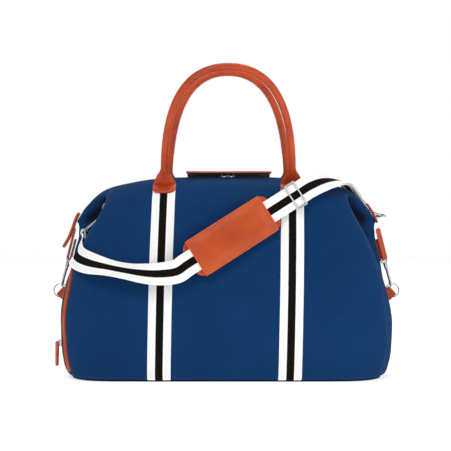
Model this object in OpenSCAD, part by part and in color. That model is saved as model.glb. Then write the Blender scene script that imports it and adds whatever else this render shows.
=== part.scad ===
// Canvas weekender bag: gable-folded holdall with striped webbing, rolled leather handles,
// a padded shoulder strap and a zipped shoe compartment in the left end.
// +X is the bearer's right, -Y the front, +Z up. The bag stands on z = 0.

/* [Shell] */
// Thickness of the canvas walls with their backing
wall = 3; // [2:0.5:4]
// Number of mesh steps between two control rows
row_steps = 2; // [1:1:2]
// Number of mesh steps between two control columns
column_steps = 3; // [2:1:3]

/* [Webbing] */
// Width of the striped webbing
webbing_w = 38; // [30:1:40]
// Thickness of the striped webbing
webbing_t = 1.6; // [1:0.2:2]

/* [Handles] */
// Diameter of the rolled leather handles
handle_d = 12; // [9:0.5:14]
// Distance between the two legs of a handle
handle_span = 215; // [206:1:220]
// Height of a handle above its stitch line
handle_rise = 210; // [150:1:220]
// How far the front handle leans forward, in degrees
front_lean = 32; // [10:1:36]

/* [Flap] */
// Width of the leather flap over the zip sliders
flap_w = 148; // [120:1:160]

/* [Shoulder pad] */
// Length of the leather shoulder pad
pad_l = 142; // [120:1:150]
// Width of the leather shoulder pad
pad_w = 65; // [55:1:70]

/* [Hardware] */
// Outer diameter of the side rings
ring_d = 26; // [24:0.5:28]
// Wire diameter of the side rings
ring_wire = 2.2; // [1.6:0.2:2.6]

/* [Hidden] */

gap = 0.3;
leather_t = 1.8;
blue = "#0f3560";
tan_leather = "#b5552e";
black_tape = "#15130f";
silver = "#c9ccd0";

// Control net of the outer face, one quarter of the bag: rows from the base to the zip line,
// columns from the middle of the front, over the rim and the valley, to the ear's ridge.
// Each point is [distance from the middle in x, distance from the middle in y, height].
NET = [
    [[0, 107, 3], [130, 107, 3], [214, 103, 3], [252, 78, 3], [262, 40, 3], [264, 0, 3]],
    [[0, 115, 12], [134, 115, 12], [224, 110, 12], [262, 84, 12], [270, 42, 12], [272, 0, 12]],
    [[0, 119, 50], [138, 119, 50], [231, 114, 50], [270, 88, 50], [277, 44, 50], [279, 0, 50]],
    [[0, 120, 100], [138, 119, 100], [233, 112, 100], [272, 84, 100], [279, 42, 100], [281, 0, 98]],
    [[0, 118, 150], [134, 117, 150], [228, 106, 150], [266, 78, 150], [268, 42, 146], [277, 0, 142]],
    [[0, 111, 198], [128, 110, 198], [216, 99, 197], [252, 75, 196], [243, 44, 188], [271, 0, 182]],
    [[0, 102, 240], [122, 101, 239], [203, 91, 238], [237, 72, 233], [212, 46, 222], [267, 0, 212]],
    [[0, 92, 275], [115, 91, 274], [192, 82, 271], [219, 67, 264], [188, 44, 250], [261, 0, 232]],
    [[0, 83, 302], [111, 82, 300], [184, 73, 295], [208, 59, 285], [174, 42, 268], [260, 0, 243]],
    [[0, 68, 322], [109, 66, 320], [177, 57, 312], [206, 45, 301], [182, 38, 283], [259.5, 0, 250]],
    [[0, 42, 335], [108, 40, 333], [173, 34, 323], [208, 27, 311], [214, 24, 292], [260, 0, 256]],
    [[0, 12, 339], [108, 12, 337], [171, 11, 328], [214, 10, 315], [244, 8, 288], [262, 0, 262]]
];
top_row = len(NET) - 1;
ring_columns = 20;
seam = 2.66;
// Half of the gap between two panels at a seam, in columns.
seam_gap = 0.005;

function unit(v) = v / norm(v);
function mix(a, b, t) = a + (b - a) * t;
function range(a, b, n) = [for (i = [0:n]) mix(a, b, i / n)];
function catmull(a, b, c, d, t) =
    0.5 * (2 * b + (c - a) * t + (2 * a - 5 * b + 4 * c - d) * t * t + (3 * b - a - 3 * c + d) * t * t * t);

// Position along a list of points, with s counting the points from 0.
function along(points, s) =
    let (n = len(points) - 1, i = min(max(floor(s), 0), n - 1))
    catmull(points[max(i - 1, 0)], points[i], points[i + 1], points[min(i + 2, n)], s - i);

// The net carried round the whole bag: column 0 is the middle of the front, 5 the right ridge,
// 10 the middle of the back and 15 the left ridge.
function net_point(row, column) =
    let (
        m = ((column % ring_columns) + ring_columns) % ring_columns,
        behind = m > 5 && m < 15,
        q = m <= 5 ? m : m < 15 ? 10 - m : m - ring_columns,
        p = NET[row][abs(q)]
    )
    [sign(q) * p[0], (behind ? 1 : -1) * p[1], p[2]];
function net_row(row, u) =
    let (i = floor(u))
    catmull(net_point(row, i - 1), net_point(row, i), net_point(row, i + 1), net_point(row, i + 2), u - i);
function wall_at(u, r) =
    let (i = min(max(floor(r), 0), top_row - 1))
    catmull(net_row(max(i - 1, 0), u), net_row(i, u), net_row(i + 1, u), net_row(min(i + 2, top_row), u), r - i);
function normal(u, r) =
    let (
        du = wall_at(u + 0.04, r) - wall_at(u - 0.04, r),
        dr = wall_at(u, min(r + 0.04, top_row)) - wall_at(u, max(r - 0.04, 0))
    )
    unit(cross(du, dr));
// A point of the outer face moved out by a distance.
function raised(u, r, out) = wall_at(u, r) + out * normal(u, r);

// Closed slab between two equal grids of points, the first on its outer side.
module slab(outer, inner) {
    rows = len(outer);
    columns = len(outer[0]);
    half = rows * columns;
    function at(i, j) = i * columns + j;
    function quad(a, b, c, d) = [[a, b, c], [a, c, d]];
    faces = [
        for (i = [0:rows - 2]) for (j = [0:columns - 2])
            each quad(at(i, j), at(i + 1, j), at(i + 1, j + 1), at(i, j + 1)),
        for (i = [0:rows - 2]) for (j = [0:columns - 2])
            each quad(half + at(i, j), half + at(i, j + 1), half + at(i + 1, j + 1), half + at(i + 1, j)),
        for (j = [0:columns - 2]) each quad(at(0, j), at(0, j + 1), half + at(0, j + 1), half + at(0, j)),
        for (j = [0:columns - 2]) each quad(
            at(rows - 1, j + 1), at(rows - 1, j), half + at(rows - 1, j), half + at(rows - 1, j + 1)),
        for (i = [0:rows - 2]) each quad(at(i + 1, 0), at(i, 0), half + at(i, 0), half + at(i + 1, 0)),
        for (i = [0:rows - 2]) each quad(
            at(i, columns - 1), at(i + 1, columns - 1), half + at(i + 1, columns - 1), half + at(i, columns - 1))
    ];
    polyhedron(points = [for (row = outer) each row, for (row = inner) each row], faces = faces, convexity = 6);
}

// Part of the bag's outer face as a slab: from in_d inside it to out_d outside it.
module skin(us, rs, in_d, out_d) {
    slab(
        [for (r = rs) [for (u = us) raised(u, r, out_d)]],
        [for (r = rs) [for (u = us) raised(u, r, -in_d)]]
    );
}

// Flat ribbon along a list of points, with the direction of its width at each point.
module ribbon(points, across, width, thick) {
    n = len(points) - 1;
    function ahead(i) = unit(points[min(i + 1, n)] - points[max(i - 1, 0)]);
    function side(i) = unit(across[i] - (across[i] * ahead(i)) * ahead(i));
    function corner(i, a, b) = points[i] + a * width / 2 * side(i) + b * thick / 2 * cross(ahead(i), side(i));
    slab(
        [for (i = [0:n]) [corner(i, -1, 1), corner(i, 1, 1)]],
        [for (i = [0:n]) [corner(i, -1, -1), corner(i, 1, -1)]]
    );
}

// Round rod between two points.
module rod(a, b, r) {
    v = b - a;
    translate(a) rotate([0, acos(v[2] / norm(v)), atan2(v[1], v[0])]) cylinder(r = r, h = norm(v), $fn = 24);
}

module elbow(p, r) {
    translate(p) sphere(r = r, $fn = 24);
}

// Puts a child drawn round the origin, hanging along -Z with its bar along Y, at a point,
// hanging along a direction instead.
module hang(at, direction) {
    d = unit(direction);
    translate(at) rotate([0, 0, d[0] < 0 ? 180 : 0]) rotate([0, -acos(-d[2]), 0]) children();
}

// ---- Shell ----
panel_rows = range(0, top_row, top_row * row_steps);
module side_panel(u0, u1) {
    us = range(u0 + seam_gap, u1 - seam_gap, ceil((u1 - u0) * column_steps));
    color(blue) skin(us, panel_rows, wall, 0);
}
module front_panel() { side_panel(-seam, seam); }
module back_panel() { side_panel(10 - seam, 10 + seam); }
module right_end_panel() { side_panel(seam, 10 - seam); }
module left_end_panel() { side_panel(seam - 10, -seam); }

module foot_outline(inset) {
    ring = [for (u = range(0, ring_columns, 80)) let (p = wall_at(u, 0)) [p[0], p[1]]];
    polygon([for (p = ring) p * (1 - inset / norm(p))]);
}
module bottom_panel() {
    color(blue) linear_extrude(height = 3 - gap) foot_outline(0);
}
base_board_t = 3;
module base_board() {
    color("#3a3632") translate([0, 0, 3 + gap]) linear_extrude(height = base_board_t) foot_outline(14);
}
lining_out = 7;
lining_t = 1;
// The lining's two edges meet at a seam in the middle of the back.
lining_seam = 0.02;
module lining() {
    us = range(lining_seam - 10, 10 - lining_seam, 58);
    rs = range(0.9, 5.4, 9);
    outer = [for (r = rs) [for (u = us) raised(u, r, -lining_out)]];
    inner = [for (r = rs) [for (u = us) raised(u, r, -lining_out - lining_t)]];
    color("#2b2e35") slab(outer, inner);
}

// ---- Striped webbing sewn up the front and the back ----
// Column at which a row of the front reaches a distance x from the middle, found by halving.
function column_at(x, r, low, high, steps) =
    let (m = (low + high) / 2)
    steps == 0 ? m
    : wall_at(m, r)[0] < x ? column_at(x, r, m, high, steps - 1)
    : column_at(x, r, low, m, steps - 1);
// Upright strip on the front (side -1) or the back (side 1), whose middle runs from x_low to x_top.
module upright(side, x_low, x_top, width, rs, thick) {
    function middle(r) = mix(x_low, x_top, wall_at(0, r)[2] / 330);
    function place(r, a, out) =
        let (
            u = column_at(middle(r) + a * width / 2, r, -1.9, 1.9, 16),
            p = raised(u, r, out)
        )
        [p[0], -side * p[1], p[2]];
    columns = [for (a = [-1, -0.5, 0, 0.5, 1]) -side * a];
    slab(
        [for (r = rs) [for (a = columns) place(r, a, gap + thick)]],
        [for (r = rs) [for (a = columns) place(r, a, gap)]]
    );
}
band_rows = range(0.35, 8.3, 16);
left_x_low = -110;
left_x_top = -104;
right_x_low = 103;
right_x_top = 110;
module band(side, x_low, x_top) {
    color("white") upright(side, x_low, x_top, webbing_w, band_rows, webbing_t);
}
module front_left_band() { band(-1, left_x_low, left_x_top); }
module front_right_band() { band(-1, right_x_low, right_x_top); }
module back_left_band() { band(1, left_x_low, left_x_top); }
module back_right_band() { band(1, right_x_low, right_x_top); }

// ---- Handles ----
patch_rows = range(8.4, 9.6, 5);
module patch(side, x) { color(tan_leather) upright(side, x, x, 39, patch_rows, leather_t); }
module front_left_patch() { patch(-1, left_x_top); }
module front_right_patch() { patch(-1, right_x_top); }
module back_left_patch() { patch(1, left_x_top); }
module back_right_patch() { patch(1, right_x_top); }

handle_x = (left_x_top + right_x_top) / 2;
handle_base_y = 60;
handle_base_z = 330;
// One quarter of the arch is a cubic curve from the top to a leg.
function bezier(a, b, c, d, t) =
    pow(1 - t, 3) * a + 3 * pow(1 - t, 2) * t * b + 3 * (1 - t) * t * t * c + pow(t, 3) * d;
function arch_side(t) = bezier(
    [0, handle_rise - 6], [handle_span * 0.318, handle_rise - 6],
    [handle_span * 0.49, handle_rise * 0.67], [handle_span / 2, 4], t);
arch = [
    for (t = range(1, 0.05, 19)) let (p = arch_side(t)) [-p[0], 0, p[1]],
    for (t = range(0, 1, 20)) let (p = arch_side(t)) [p[0], 0, p[1]]
];
module tube(points, r, sides) {
    n = len(points) - 1;
    function ahead(i) = unit(points[min(i + 1, n)] - points[max(i - 1, 0)]);
    function ring(i) = [for (k = [0:sides - 1])
        let (a = 360 * k / sides, across = cross([0, 1, 0], ahead(i)))
        points[i] + r * (cos(a) * across + sin(a) * [0, 1, 0])];
    faces = [
        [for (k = [0:sides - 1]) k],
        [for (k = [sides - 1:-1:0]) n * sides + k],
        for (i = [0:n - 1]) for (k = [0:sides - 1]) let (m = (k + 1) % sides)
            each [[i * sides + k, (i + 1) * sides + k, (i + 1) * sides + m],
                  [i * sides + k, (i + 1) * sides + m, i * sides + m]]
    ];
    polyhedron(points = [for (i = [0:n]) each ring(i)], faces = faces, convexity = 6);
}
module handle(y, lean) {
    color(tan_leather) translate([handle_x, y, handle_base_z]) rotate([lean, 0, 0]) tube(arch, handle_d / 2, 12);
}
module front_handle() { handle(-handle_base_y, front_lean); }
module back_handle() { handle(handle_base_y, 0); }

// ---- Flap over the zip sliders ----
flap_path = [[4, 50, 337.5], [4, 38, 342.5], [4, 22, 346.5], [4, 0, 348.3], [4, -22, 346.9], [4, -44, 343.6]];
flap_lining_t = 0.7;
module flap_layer(lift, thick) {
    path = [for (s = range(0, 5, 15)) along(flap_path, s) + [0, 0, lift]];
    ribbon(path, [for (p = path) [1, 0, 0]], flap_w, thick);
}
module flap_leather() { color(tan_leather) flap_layer(0.9, leather_t - 0.2); }
module flap_lining() { color(black_tape) flap_layer(-0.6, flap_lining_t); }

// ---- Top zip ----
zip_us = range(-4.4, 4.4, 44);
// The tape narrows towards its ends, where the canvas stands on edge beside it.
function tape_y(u) = abs(wall_at(u, top_row)[1]) - 0.9 - 1.35 * max(0, abs(u) - 2.6);
tape_t = 1.2;
module top_zip_tape() {
    color(black_tape) slab(
        [for (u = zip_us) let (p = wall_at(u, top_row)) [
            [p[0], -tape_y(u), p[2]], [p[0], tape_y(u), p[2]]]],
        [for (u = zip_us) let (p = wall_at(u, top_row), n = zip_down(u)) [
            [p[0], -tape_y(u), p[2]] + tape_t * n, [p[0], tape_y(u), p[2]] + tape_t * n]]
    );
}
// Direction into the bag, square to the zip line.
function zip_down(u) =
    let (d = wall_at(u + 0.05, top_row) - wall_at(u - 0.05, top_row)) unit([d[2], 0, -d[0]]);
teeth_w = 5;
teeth_t = 1.4;
module top_zip_teeth() {
    us = range(-4.2, 4.2, 42);
    function place(u, y, lift) = let (p = wall_at(u, top_row)) [p[0], y, p[2]] - lift * zip_down(u);
    color("#2a2a2c") slab(
        [for (u = us) [place(u, -teeth_w / 2, 0.05 + teeth_t), place(u, teeth_w / 2, 0.05 + teeth_t)]],
        [for (u = us) [place(u, -teeth_w / 2, 0.05), place(u, teeth_w / 2, 0.05)]]
    );
}

// A slider: a body with a channel for the teeth below and, above, a lug whose bar lies along the
// travel or is turned across it.
slider_l = 11;
slider_w = 9;
lug_h = 6.2;
module slider(lug_turn) {
    color(silver) {
        difference() {
            translate([-slider_l / 2, -slider_w / 2, 0.4]) cube([slider_l, slider_w, 3.6]);
            translate([-slider_l / 2 - 1, -teeth_w / 2 - 0.4, 0]) cube([slider_l + 2, teeth_w + 0.8, 2.2]);
        }
        rotate([0, 0, lug_turn]) {
            for (x = [-3.6, 3.6]) translate([x, 0, 3.9]) cylinder(r = 0.7, h = lug_h - 3.9, $fn = 24);
            rod([-3.6, 0, lug_h], [3.6, 0, lug_h], 0.7);
            elbow([-3.6, 0, lug_h], 0.7);
            elbow([3.6, 0, lug_h], 0.7);
        }
    }
}
// A puller drawn from the bar's centre, reaching along -Y.
pull_l = 42;
module pull(width) {
    color(silver) {
        rotate([0, 90, 0]) difference() {
            cylinder(r = 1.9, h = 4.4, center = true, $fn = 32);
            cylinder(r = 1.0, h = 6, center = true, $fn = 32);
        }
        translate([-1.6, -8, -0.6]) cube([3.2, 6.6, 1.2]);
        translate([-width / 2, -pull_l + 3, -0.6]) cube([width, pull_l - 10.9, 1.2]);
        translate([0, -pull_l + 3, -0.6]) cylinder(r = width / 2, h = 1.2, $fn = 32);
    }
}
slider_mid = 2.4;
slider_x = 6;
slider_z = 338.9;
pull_droop = 9;
module at_slider(side) { translate([slider_mid + side * slider_x, 0, slider_z]) children(); }
module left_slider() { at_slider(-1) slider(0); }
module right_slider() { at_slider(1) slider(0); }
module top_pull(side, width) {
    at_slider(side) translate([0, 0, lug_h]) rotate([pull_droop, 0, 0]) pull(width);
}
module left_pull() { top_pull(-1, 6.5); }
module right_pull() { top_pull(1, 5.5); }

// Leather ends of the top zip: the left one stands out over the ear, the right one lies along it.
module left_zip_end() {
    color(tan_leather) ribbon(
        [[-258.5, 0, 277], [-264, 0, 266], [-269.5, 0, 250], [-277, 0, 232], [-286, 0, 217]],
        [for (i = [0:4]) [0, 1, 0]], 16, 4.5);
}
module right_zip_end() {
    color(tan_leather) ribbon(
        [[246, 0, 293.5], [254.5, 0, 281], [261, 0, 268], [264.6, 0, 260]],
        [for (i = [0:3]) [0, 1, 0]], 14, 3);
}

// ---- Ears: a folded leather tab, a swivel hook, a ring and the side tab that holds the ring ----
bar_r = 1.5;
hook_bar = [276, 0, 197];
ring_at = [291, 0, 141];
ear_line = unit(ring_at - hook_bar);
module to_side(side) { if (side < 0) mirror([1, 0, 0]) children(); else children(); }
// Ribbon that runs from a far end, round a bar and back, along a line.
function folded(bar, line, square, off, out_l, back_l) = [
    for (s = range(out_l, 0, 4)) bar - s * line + off * square,
    for (a = [30:30:150]) bar + off * (cos(a) * square + sin(a) * line),
    for (s = range(0, back_l, 3)) bar - s * line - off * square
];
// How far each ear's tab and eye are turned towards the front, round the line of the hook.
left_ear_turn = 0;
right_ear_turn = 32;
module ear_tab(side, turn) {
    line = unit([13, 0, -52]);
    outward = [-line[2], 0, line[0]];
    square = cos(turn) * outward - sin(turn) * [0, 1, 0];
    wide = cos(turn) * [0, 1, 0] + sin(turn) * outward;
    path = folded(hook_bar, line, square, bar_r + 0.4 + leather_t / 2, 54, 36);
    color(tan_leather) to_side(side) ribbon(path, [for (p = path) wide], 20, leather_t);
}
module left_ear_tab() { ear_tab(-1, left_ear_turn); }
module right_ear_tab() { ear_tab(1, right_ear_turn); }

// A swivel hook hanging along -Z from a bar along Y, its bow in the plane of Y and Z.
bow_turn = 90;
hook_wire = 1.8;
bow_half = 4.6;
collar_top = -9;
collar_h = 6;
bow_top = collar_top - collar_h;
bow_bottom = -49.6;
bow_centre = bow_bottom + bow_half;
// How much wider a rounded corner is than its rods.
elbow_extra = 0.1;
module hook_bow() {
    translate([0, 0, bow_top - 3]) cylinder(r = 2.4, h = 3.5, $fn = 32);
    elbow([0, 0, bow_top - 3], 2.8);
    rod([0, 0, bow_top - 3], [-bow_half, 0, bow_top - 8], hook_wire);
    elbow([-bow_half, 0, bow_top - 8], hook_wire + elbow_extra);
    translate([-bow_half, 0, bow_centre]) cylinder(r = hook_wire, h = bow_top - 8 - bow_centre, $fn = 32);
    translate([0, 0, bow_centre]) rotate([-90, 0, 0]) rotate_extrude(angle = 180, $fn = 48)
        translate([bow_half, 0]) circle(r = hook_wire, $fn = 24);
    translate([bow_half, 0, bow_centre]) cylinder(r = hook_wire, h = 3, $fn = 32);
}
stem_r = 1.2;
bore_r = 1.3;
eye_side_r = 1.2;
eye_drop = -5.6;
// The eye that the tab or the webbing is folded round, with the stem that the hook swivels on.
module eye(eye_w) {
    color(silver) {
        rod([0, -eye_w / 2, 0], [0, eye_w / 2, 0], bar_r);
        for (y = [-1, 1]) {
            elbow([0, y * eye_w / 2, 0], bar_r + elbow_extra);
            rod([0, y * eye_w / 2, 0], [0, y * eye_w / 2, eye_drop], eye_side_r);
            elbow([0, y * eye_w / 2, eye_drop], eye_side_r + elbow_extra);
            rod([0, y * eye_w / 2, eye_drop], [0, y * 2.3, collar_top + 1.8], eye_side_r);
        }
        translate([0, 0, collar_top + gap]) cylinder(r = 3.6, h = 2.8, $fn = 32);
        translate([0, 0, collar_top - 4]) cylinder(r = stem_r, h = 5, $fn = 32);
    }
}
module hook() {
    color(silver) {
        difference() {
            translate([0, 0, bow_top]) cylinder(r = 3.2, h = collar_h, $fn = 32);
            translate([0, 0, collar_top - 4.3]) cylinder(r = bore_r, h = 6, $fn = 32);
        }
        rotate([0, 0, bow_turn]) hook_bow();
    }
}
// The hook's sprung gate, closing the bow's open side.
gate_top = bow_top - 6.4;
module gate() {
    color(silver) rotate([0, 0, bow_turn]) {
        rod([bow_half - 0.4, 0, gate_top], [bow_half, 0, bow_centre + 3 + gap], 1.2);
        elbow([bow_half - 0.4, 0, gate_top], 1.2);
        rod([bow_half - 0.3, 0, gate_top - 4], [bow_half + 3.6, 0, gate_top - 5], 0.9);
    }
}
module on_ear(side) { to_side(side) hang(hook_bar, ear_line) children(); }
ear_eye_w = 23.5;
module left_ear_eye() { on_ear(-1) rotate([0, 0, left_ear_turn]) eye(ear_eye_w); }
module right_ear_eye() { on_ear(1) rotate([0, 0, -right_ear_turn]) eye(ear_eye_w); }
module left_ear_hook() { on_ear(-1) hook(); }
module right_ear_hook() { on_ear(1) hook(); }
module left_ear_gate() { on_ear(-1) gate(); }
module right_ear_gate() { on_ear(1) gate(); }

module side_ring(side) {
    color(silver) to_side(side) translate(ring_at) rotate([90, 0, 0])
        rotate_extrude($fn = 64) translate([ring_d / 2 - ring_wire / 2, 0]) circle(r = ring_wire / 2, $fn = 24);
}
module left_side_ring() { side_ring(-1); }
module right_side_ring() { side_ring(1); }

side_tab_l = 7.5;
// Two leather layers either side of the ring's wire, joined by the fold inside the ring.
module side_tab(side) {
    fold = [289.8, 0, 139.8];
    out = unit([0.73, 0, 0.68]);
    tab_w = 19;
    inside = ring_wire / 2 + 0.4;
    path = [
        for (s = range(side_tab_l, 0, 2)) fold - s * out + [0, -inside - leather_t / 2, 0],
        for (a = [30:30:150])
            fold + (inside + leather_t / 2) * ([0, -cos(a), 0] + sin(a) * out),
        for (s = range(0, side_tab_l, 2)) fold - s * out + [0, inside + leather_t / 2, 0]
    ];
    color(tan_leather) to_side(side) ribbon(path, [for (p = path) [-out[2], 0, out[0]]], tab_w, leather_t);
}
module left_side_tab() { side_tab(-1); }
module right_side_tab() { side_tab(1); }

// ---- Shoulder strap: chapes and D-rings in the valleys, hooks, webbing, pad and adjuster ----
d_r = 11.5;
d_wire = 1.5;
d_reach = -bow_bottom - hook_wire - 0.4 - d_wire;
left_eye = [-241.2, -47, 245];
right_eye = [282, 42, 272];
left_line = unit([0.74, 0, 0.67]);
right_line = unit([-0.985, 0, -0.17]);

// Turns a child drawn with its length along -Z and its bar along Y on to a line through a point.
module aim(at, line) {
    w = -line;
    v = unit([0, 1, 0] - w[1] * w);
    u = cross(v, w);
    translate(at) multmatrix([
        [u[0], v[0], w[0], 0], [u[1], v[1], w[1], 0], [u[2], v[2], w[2], 0], [0, 0, 0, 1]]) children();
}
// A D-ring in the plane of X and Z, its straight bar at the origin and its bow towards +Z.
module d_ring() {
    color(silver) {
        rod([-d_r, 0, 0], [d_r, 0, 0], d_wire);
        elbow([-d_r, 0, 0], d_wire);
        elbow([d_r, 0, 0], d_wire);
        rotate([90, 0, 0]) rotate_extrude(angle = 180, $fn = 48)
            translate([d_r, 0]) circle(r = d_wire, $fn = 24);
    }
}
module left_d_ring() { aim(left_eye, left_line) translate([0, 0, -d_reach - d_r]) d_ring(); }
module right_d_ring() { aim(right_eye, right_line) translate([0, 0, -d_reach - d_r]) d_ring(); }
// Webbing folded round a D-ring's bar.
module chape(length) {
    off = d_wire + 0.3 + webbing_t / 2;
    path = folded([0, 0, 0], [0, 0, 1], [0, 1, 0], off, length, length);
    color("white") ribbon(path, [for (p = path) [1, 0, 0]], 19, webbing_t);
}
module left_chape() { aim(left_eye, left_line) translate([0, 0, -d_reach - d_r]) chape(3.8); }
module right_chape() { aim(right_eye, right_line) translate([0, 0, -d_reach - d_r]) chape(16); }
strap_eye_w = webbing_w + 4;
module left_strap_eye() { aim(left_eye, left_line) eye(strap_eye_w); }
module right_strap_eye() { aim(right_eye, right_line) eye(strap_eye_w); }
module left_strap_hook() { aim(left_eye, left_line) hook(); }
module right_strap_hook() { aim(right_eye, right_line) hook(); }
module left_strap_gate() { aim(left_eye, left_line) gate(); }
module right_strap_gate() { aim(right_eye, right_line) gate(); }

// The straight stretch of the strap runs through the pad and the adjuster.
pad_at = [9.5, -119, 238.5];
strap_line = unit([0.843, 0.15, 0.537]);
strap_across = unit([-0.537, 0, 0.843]);
function on_line(s) = pad_at + s * strap_line;
// Route of the webbing, each point with the direction of its width.
ROUTE = [
    [[-236, -47, 225], [0, -1, 0]],
    [[-237.4, -47, 234], [0, -1, 0]],
    [[-238.2, -47, 244], [0, -1, 0]],
    [[-241.2, -47, 248.2], [0, -1, 0]],
    [[-244.2, -47, 244], [0, -1, 0]],
    [[-244.3, -50, 231.6], [0, -1, 0]],
    [[-249.9, -67.3, 216], [0.4, -0.78, 0.47]],
    [[-247, -91.7, 203.5], [0.72, -0.39, 0.58]],
    [[-224.5, -116.6, 194.5], [0.48, 0.32, 0.82]],
    [[-193, -129, 188], [0.22, 0.75, 0.62]],
    [[-160, -134, 182], [0.05, 0.78, 0.62]],
    [[-132, -137, 178.5], [-0.1, 0.6, 0.79]],
    [[-108, -137, 177.5], [-0.25, 0.35, 0.9]],
    [on_line(-108), strap_across],
    [on_line(-88), strap_across],
    [on_line(-60), strap_across],
    [on_line(-30), strap_across],
    [on_line(0), strap_across],
    [on_line(40), strap_across],
    [on_line(80), strap_across],
    [on_line(110), strap_across],
    [on_line(138), strap_across],
    [on_line(150), strap_across],
    [[152, -82, 326], [-0.55, 0.3, 0.75]],
    [[170, -64, 331], [-0.5, 0.65, 0.55]],
    [[191, -36, 332.5], [-0.6, 0.75, 0.25]],
    [[211, -6, 327], [-0.6, 0.8, 0.2]],
    [[236, 26, 300], [-0.5, 0.8, 0.2]],
    [[257, 37, 284], [-0.15, 0.97, 0.1]],
    [[273, 42, 277], [0, 1, 0]],
    [[282.5, 42, 275], [0, 1, 0]],
    [[285, 42, 271], [0, 1, 0]]
];
strap_points = [for (p = ROUTE) p[0]];
strap_sides = [for (p = ROUTE) unit(p[1])];
strap_steps = range(0, len(ROUTE) - 1, (len(ROUTE) - 1) * 2);
module shoulder_strap() {
    color("white") ribbon(
        [for (s = strap_steps) along(strap_points, s)],
        [for (s = strap_steps) along(strap_sides, s)], webbing_w, webbing_t);
}
// The second layer of webbing, back from the right hook to the adjuster, under the first.
return_drop = webbing_t + 1.2;
module strap_return() {
    steps = range(22, 29, 14);
    function ahead(s) = unit(along(strap_points, s + 0.1) - along(strap_points, s - 0.1));
    color("white") ribbon(
        [for (s = steps) along(strap_points, s) - return_drop * unit(cross(ahead(s), along(strap_sides, s)))],
        [for (s = steps) along(strap_sides, s)], webbing_w - 1, webbing_t);
}

// Frame along the strap's straight stretch: X along it, Z across it, Y into the bag.
module on_strap(s) {
    x = strap_line;
    z = unit(strap_across - (strap_across * x) * x);
    y = cross(z, x);
    translate(on_line(s)) multmatrix([
        [x[0], y[0], z[0], 0], [x[1], y[1], z[1], 0], [x[2], y[2], z[2], 0], [0, 0, 0, 1]]) children();
}
adjuster_l = 17;
adjuster_wire = 1.5;
module strap_adjuster() {
    half_l = adjuster_l / 2;
    half_w = webbing_w / 2 + 2.2;
    lift = webbing_t / 2 + gap + adjuster_wire;
    color(silver) on_strap(124) {
        for (x = [-half_l, half_l]) {
            rod([x, -lift, -half_w], [x, -lift, half_w], adjuster_wire);
            for (z = [-half_w, half_w]) elbow([x, -lift, z], adjuster_wire);
        }
        for (z = [-half_w, half_w]) rod([-half_l, -lift, z], [half_l, -lift, z], adjuster_wire);
        rod([2, lift + 0.4, -half_w], [2, lift + 0.4, half_w], adjuster_wire);
        for (z = [-half_w, half_w]) {
            rod([2, -lift, z], [2, lift + 0.4, z], adjuster_wire);
            elbow([2, lift + 0.4, z], adjuster_wire);
        }
    }
}

pad_top_t = 2.6;
pad_base_t = 2.4;
module pad_plate(length, width, thick, corner) {
    rotate([90, 0, 0]) linear_extrude(height = thick) offset(r = corner, $fn = 24)
        square([length - 2 * corner, width - 2 * corner], center = true);
}
module strap_pad() {
    color(tan_leather) on_strap(0) translate([0, -webbing_t / 2 - gap, 0]) pad_plate(pad_l, pad_w, pad_top_t, 3);
}
// The backing leather, whose rounded lobes reach past both ends of the top leather.
lobe_r = 13;
module strap_pad_base() {
    color(tan_leather) on_strap(0) translate([0, webbing_t / 2 + gap + pad_base_t, 0]) {
        pad_plate(pad_l, pad_w, pad_base_t, 3);
        for (x = [-1, 1]) for (z = [-1, 1])
            translate([x * (pad_l / 2 - 3), 0, z * (pad_w / 2 - lobe_r - 2)])
                rotate([90, 0, 0]) cylinder(r = lobe_r, h = pad_base_t, $fn = 48);
    }
}

// ---- Shoe compartment zip: an arch round the left end ----
arch_foot = 1.15;
arch_turn = 4;
arch_u = -5;
arch_lift = 1.5;
// Point [column, row] of an arch with half-width w in columns and the height of its crown.
function arch_at(w, crown, t) =
    t < 0.3 ? [arch_u + w, mix(arch_foot, arch_turn, t / 0.3)]
    : t > 0.7 ? [arch_u - w, mix(arch_turn, arch_foot, (t - 0.7) / 0.3)]
    : let (a = 180 * (t - 0.3) / 0.4) [arch_u + w * cos(a), arch_turn + (crown - arch_turn) * sin(a)];
module arch_strip(w0, crown0, w1, crown1, lift, thick) {
    ts = range(0, 1, 80);
    function place(w, crown, t, out) = let (p = arch_at(w, crown, t)) raised(p[0], p[1], out);
    slab(
        [for (t = ts) [place(w0, crown0, t, lift + thick), place(w1, crown1, t, lift + thick)]],
        [for (t = ts) [place(w0, crown0, t, lift), place(w1, crown1, t, lift)]]
    );
}
module side_zip_binding() { color(tan_leather) arch_strip(2.3, 5.45, 2.14, 5.2, arch_lift, 2); }
module side_zip_tape() { color(black_tape) arch_strip(2.125, 5.18, 1.88, 4.85, arch_lift, 1.2); }

side_slider_at = [-273.7, -89.2, 62];
// Direction that the side zip faces, as an angle from -X towards -Y.
side_zip_turn = 33;
module at_side_slider() { translate(side_slider_at) rotate([0, 0, side_zip_turn]) rotate([0, -90, 0]) children(); }
module side_slider() { at_side_slider() slider(90); }
module side_pull() {
    color(tan_leather) at_side_slider() translate([0, 0, lug_h]) rotate([0, 0, -90]) rotate([4, 0, 0]) pull(8);
}

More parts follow.
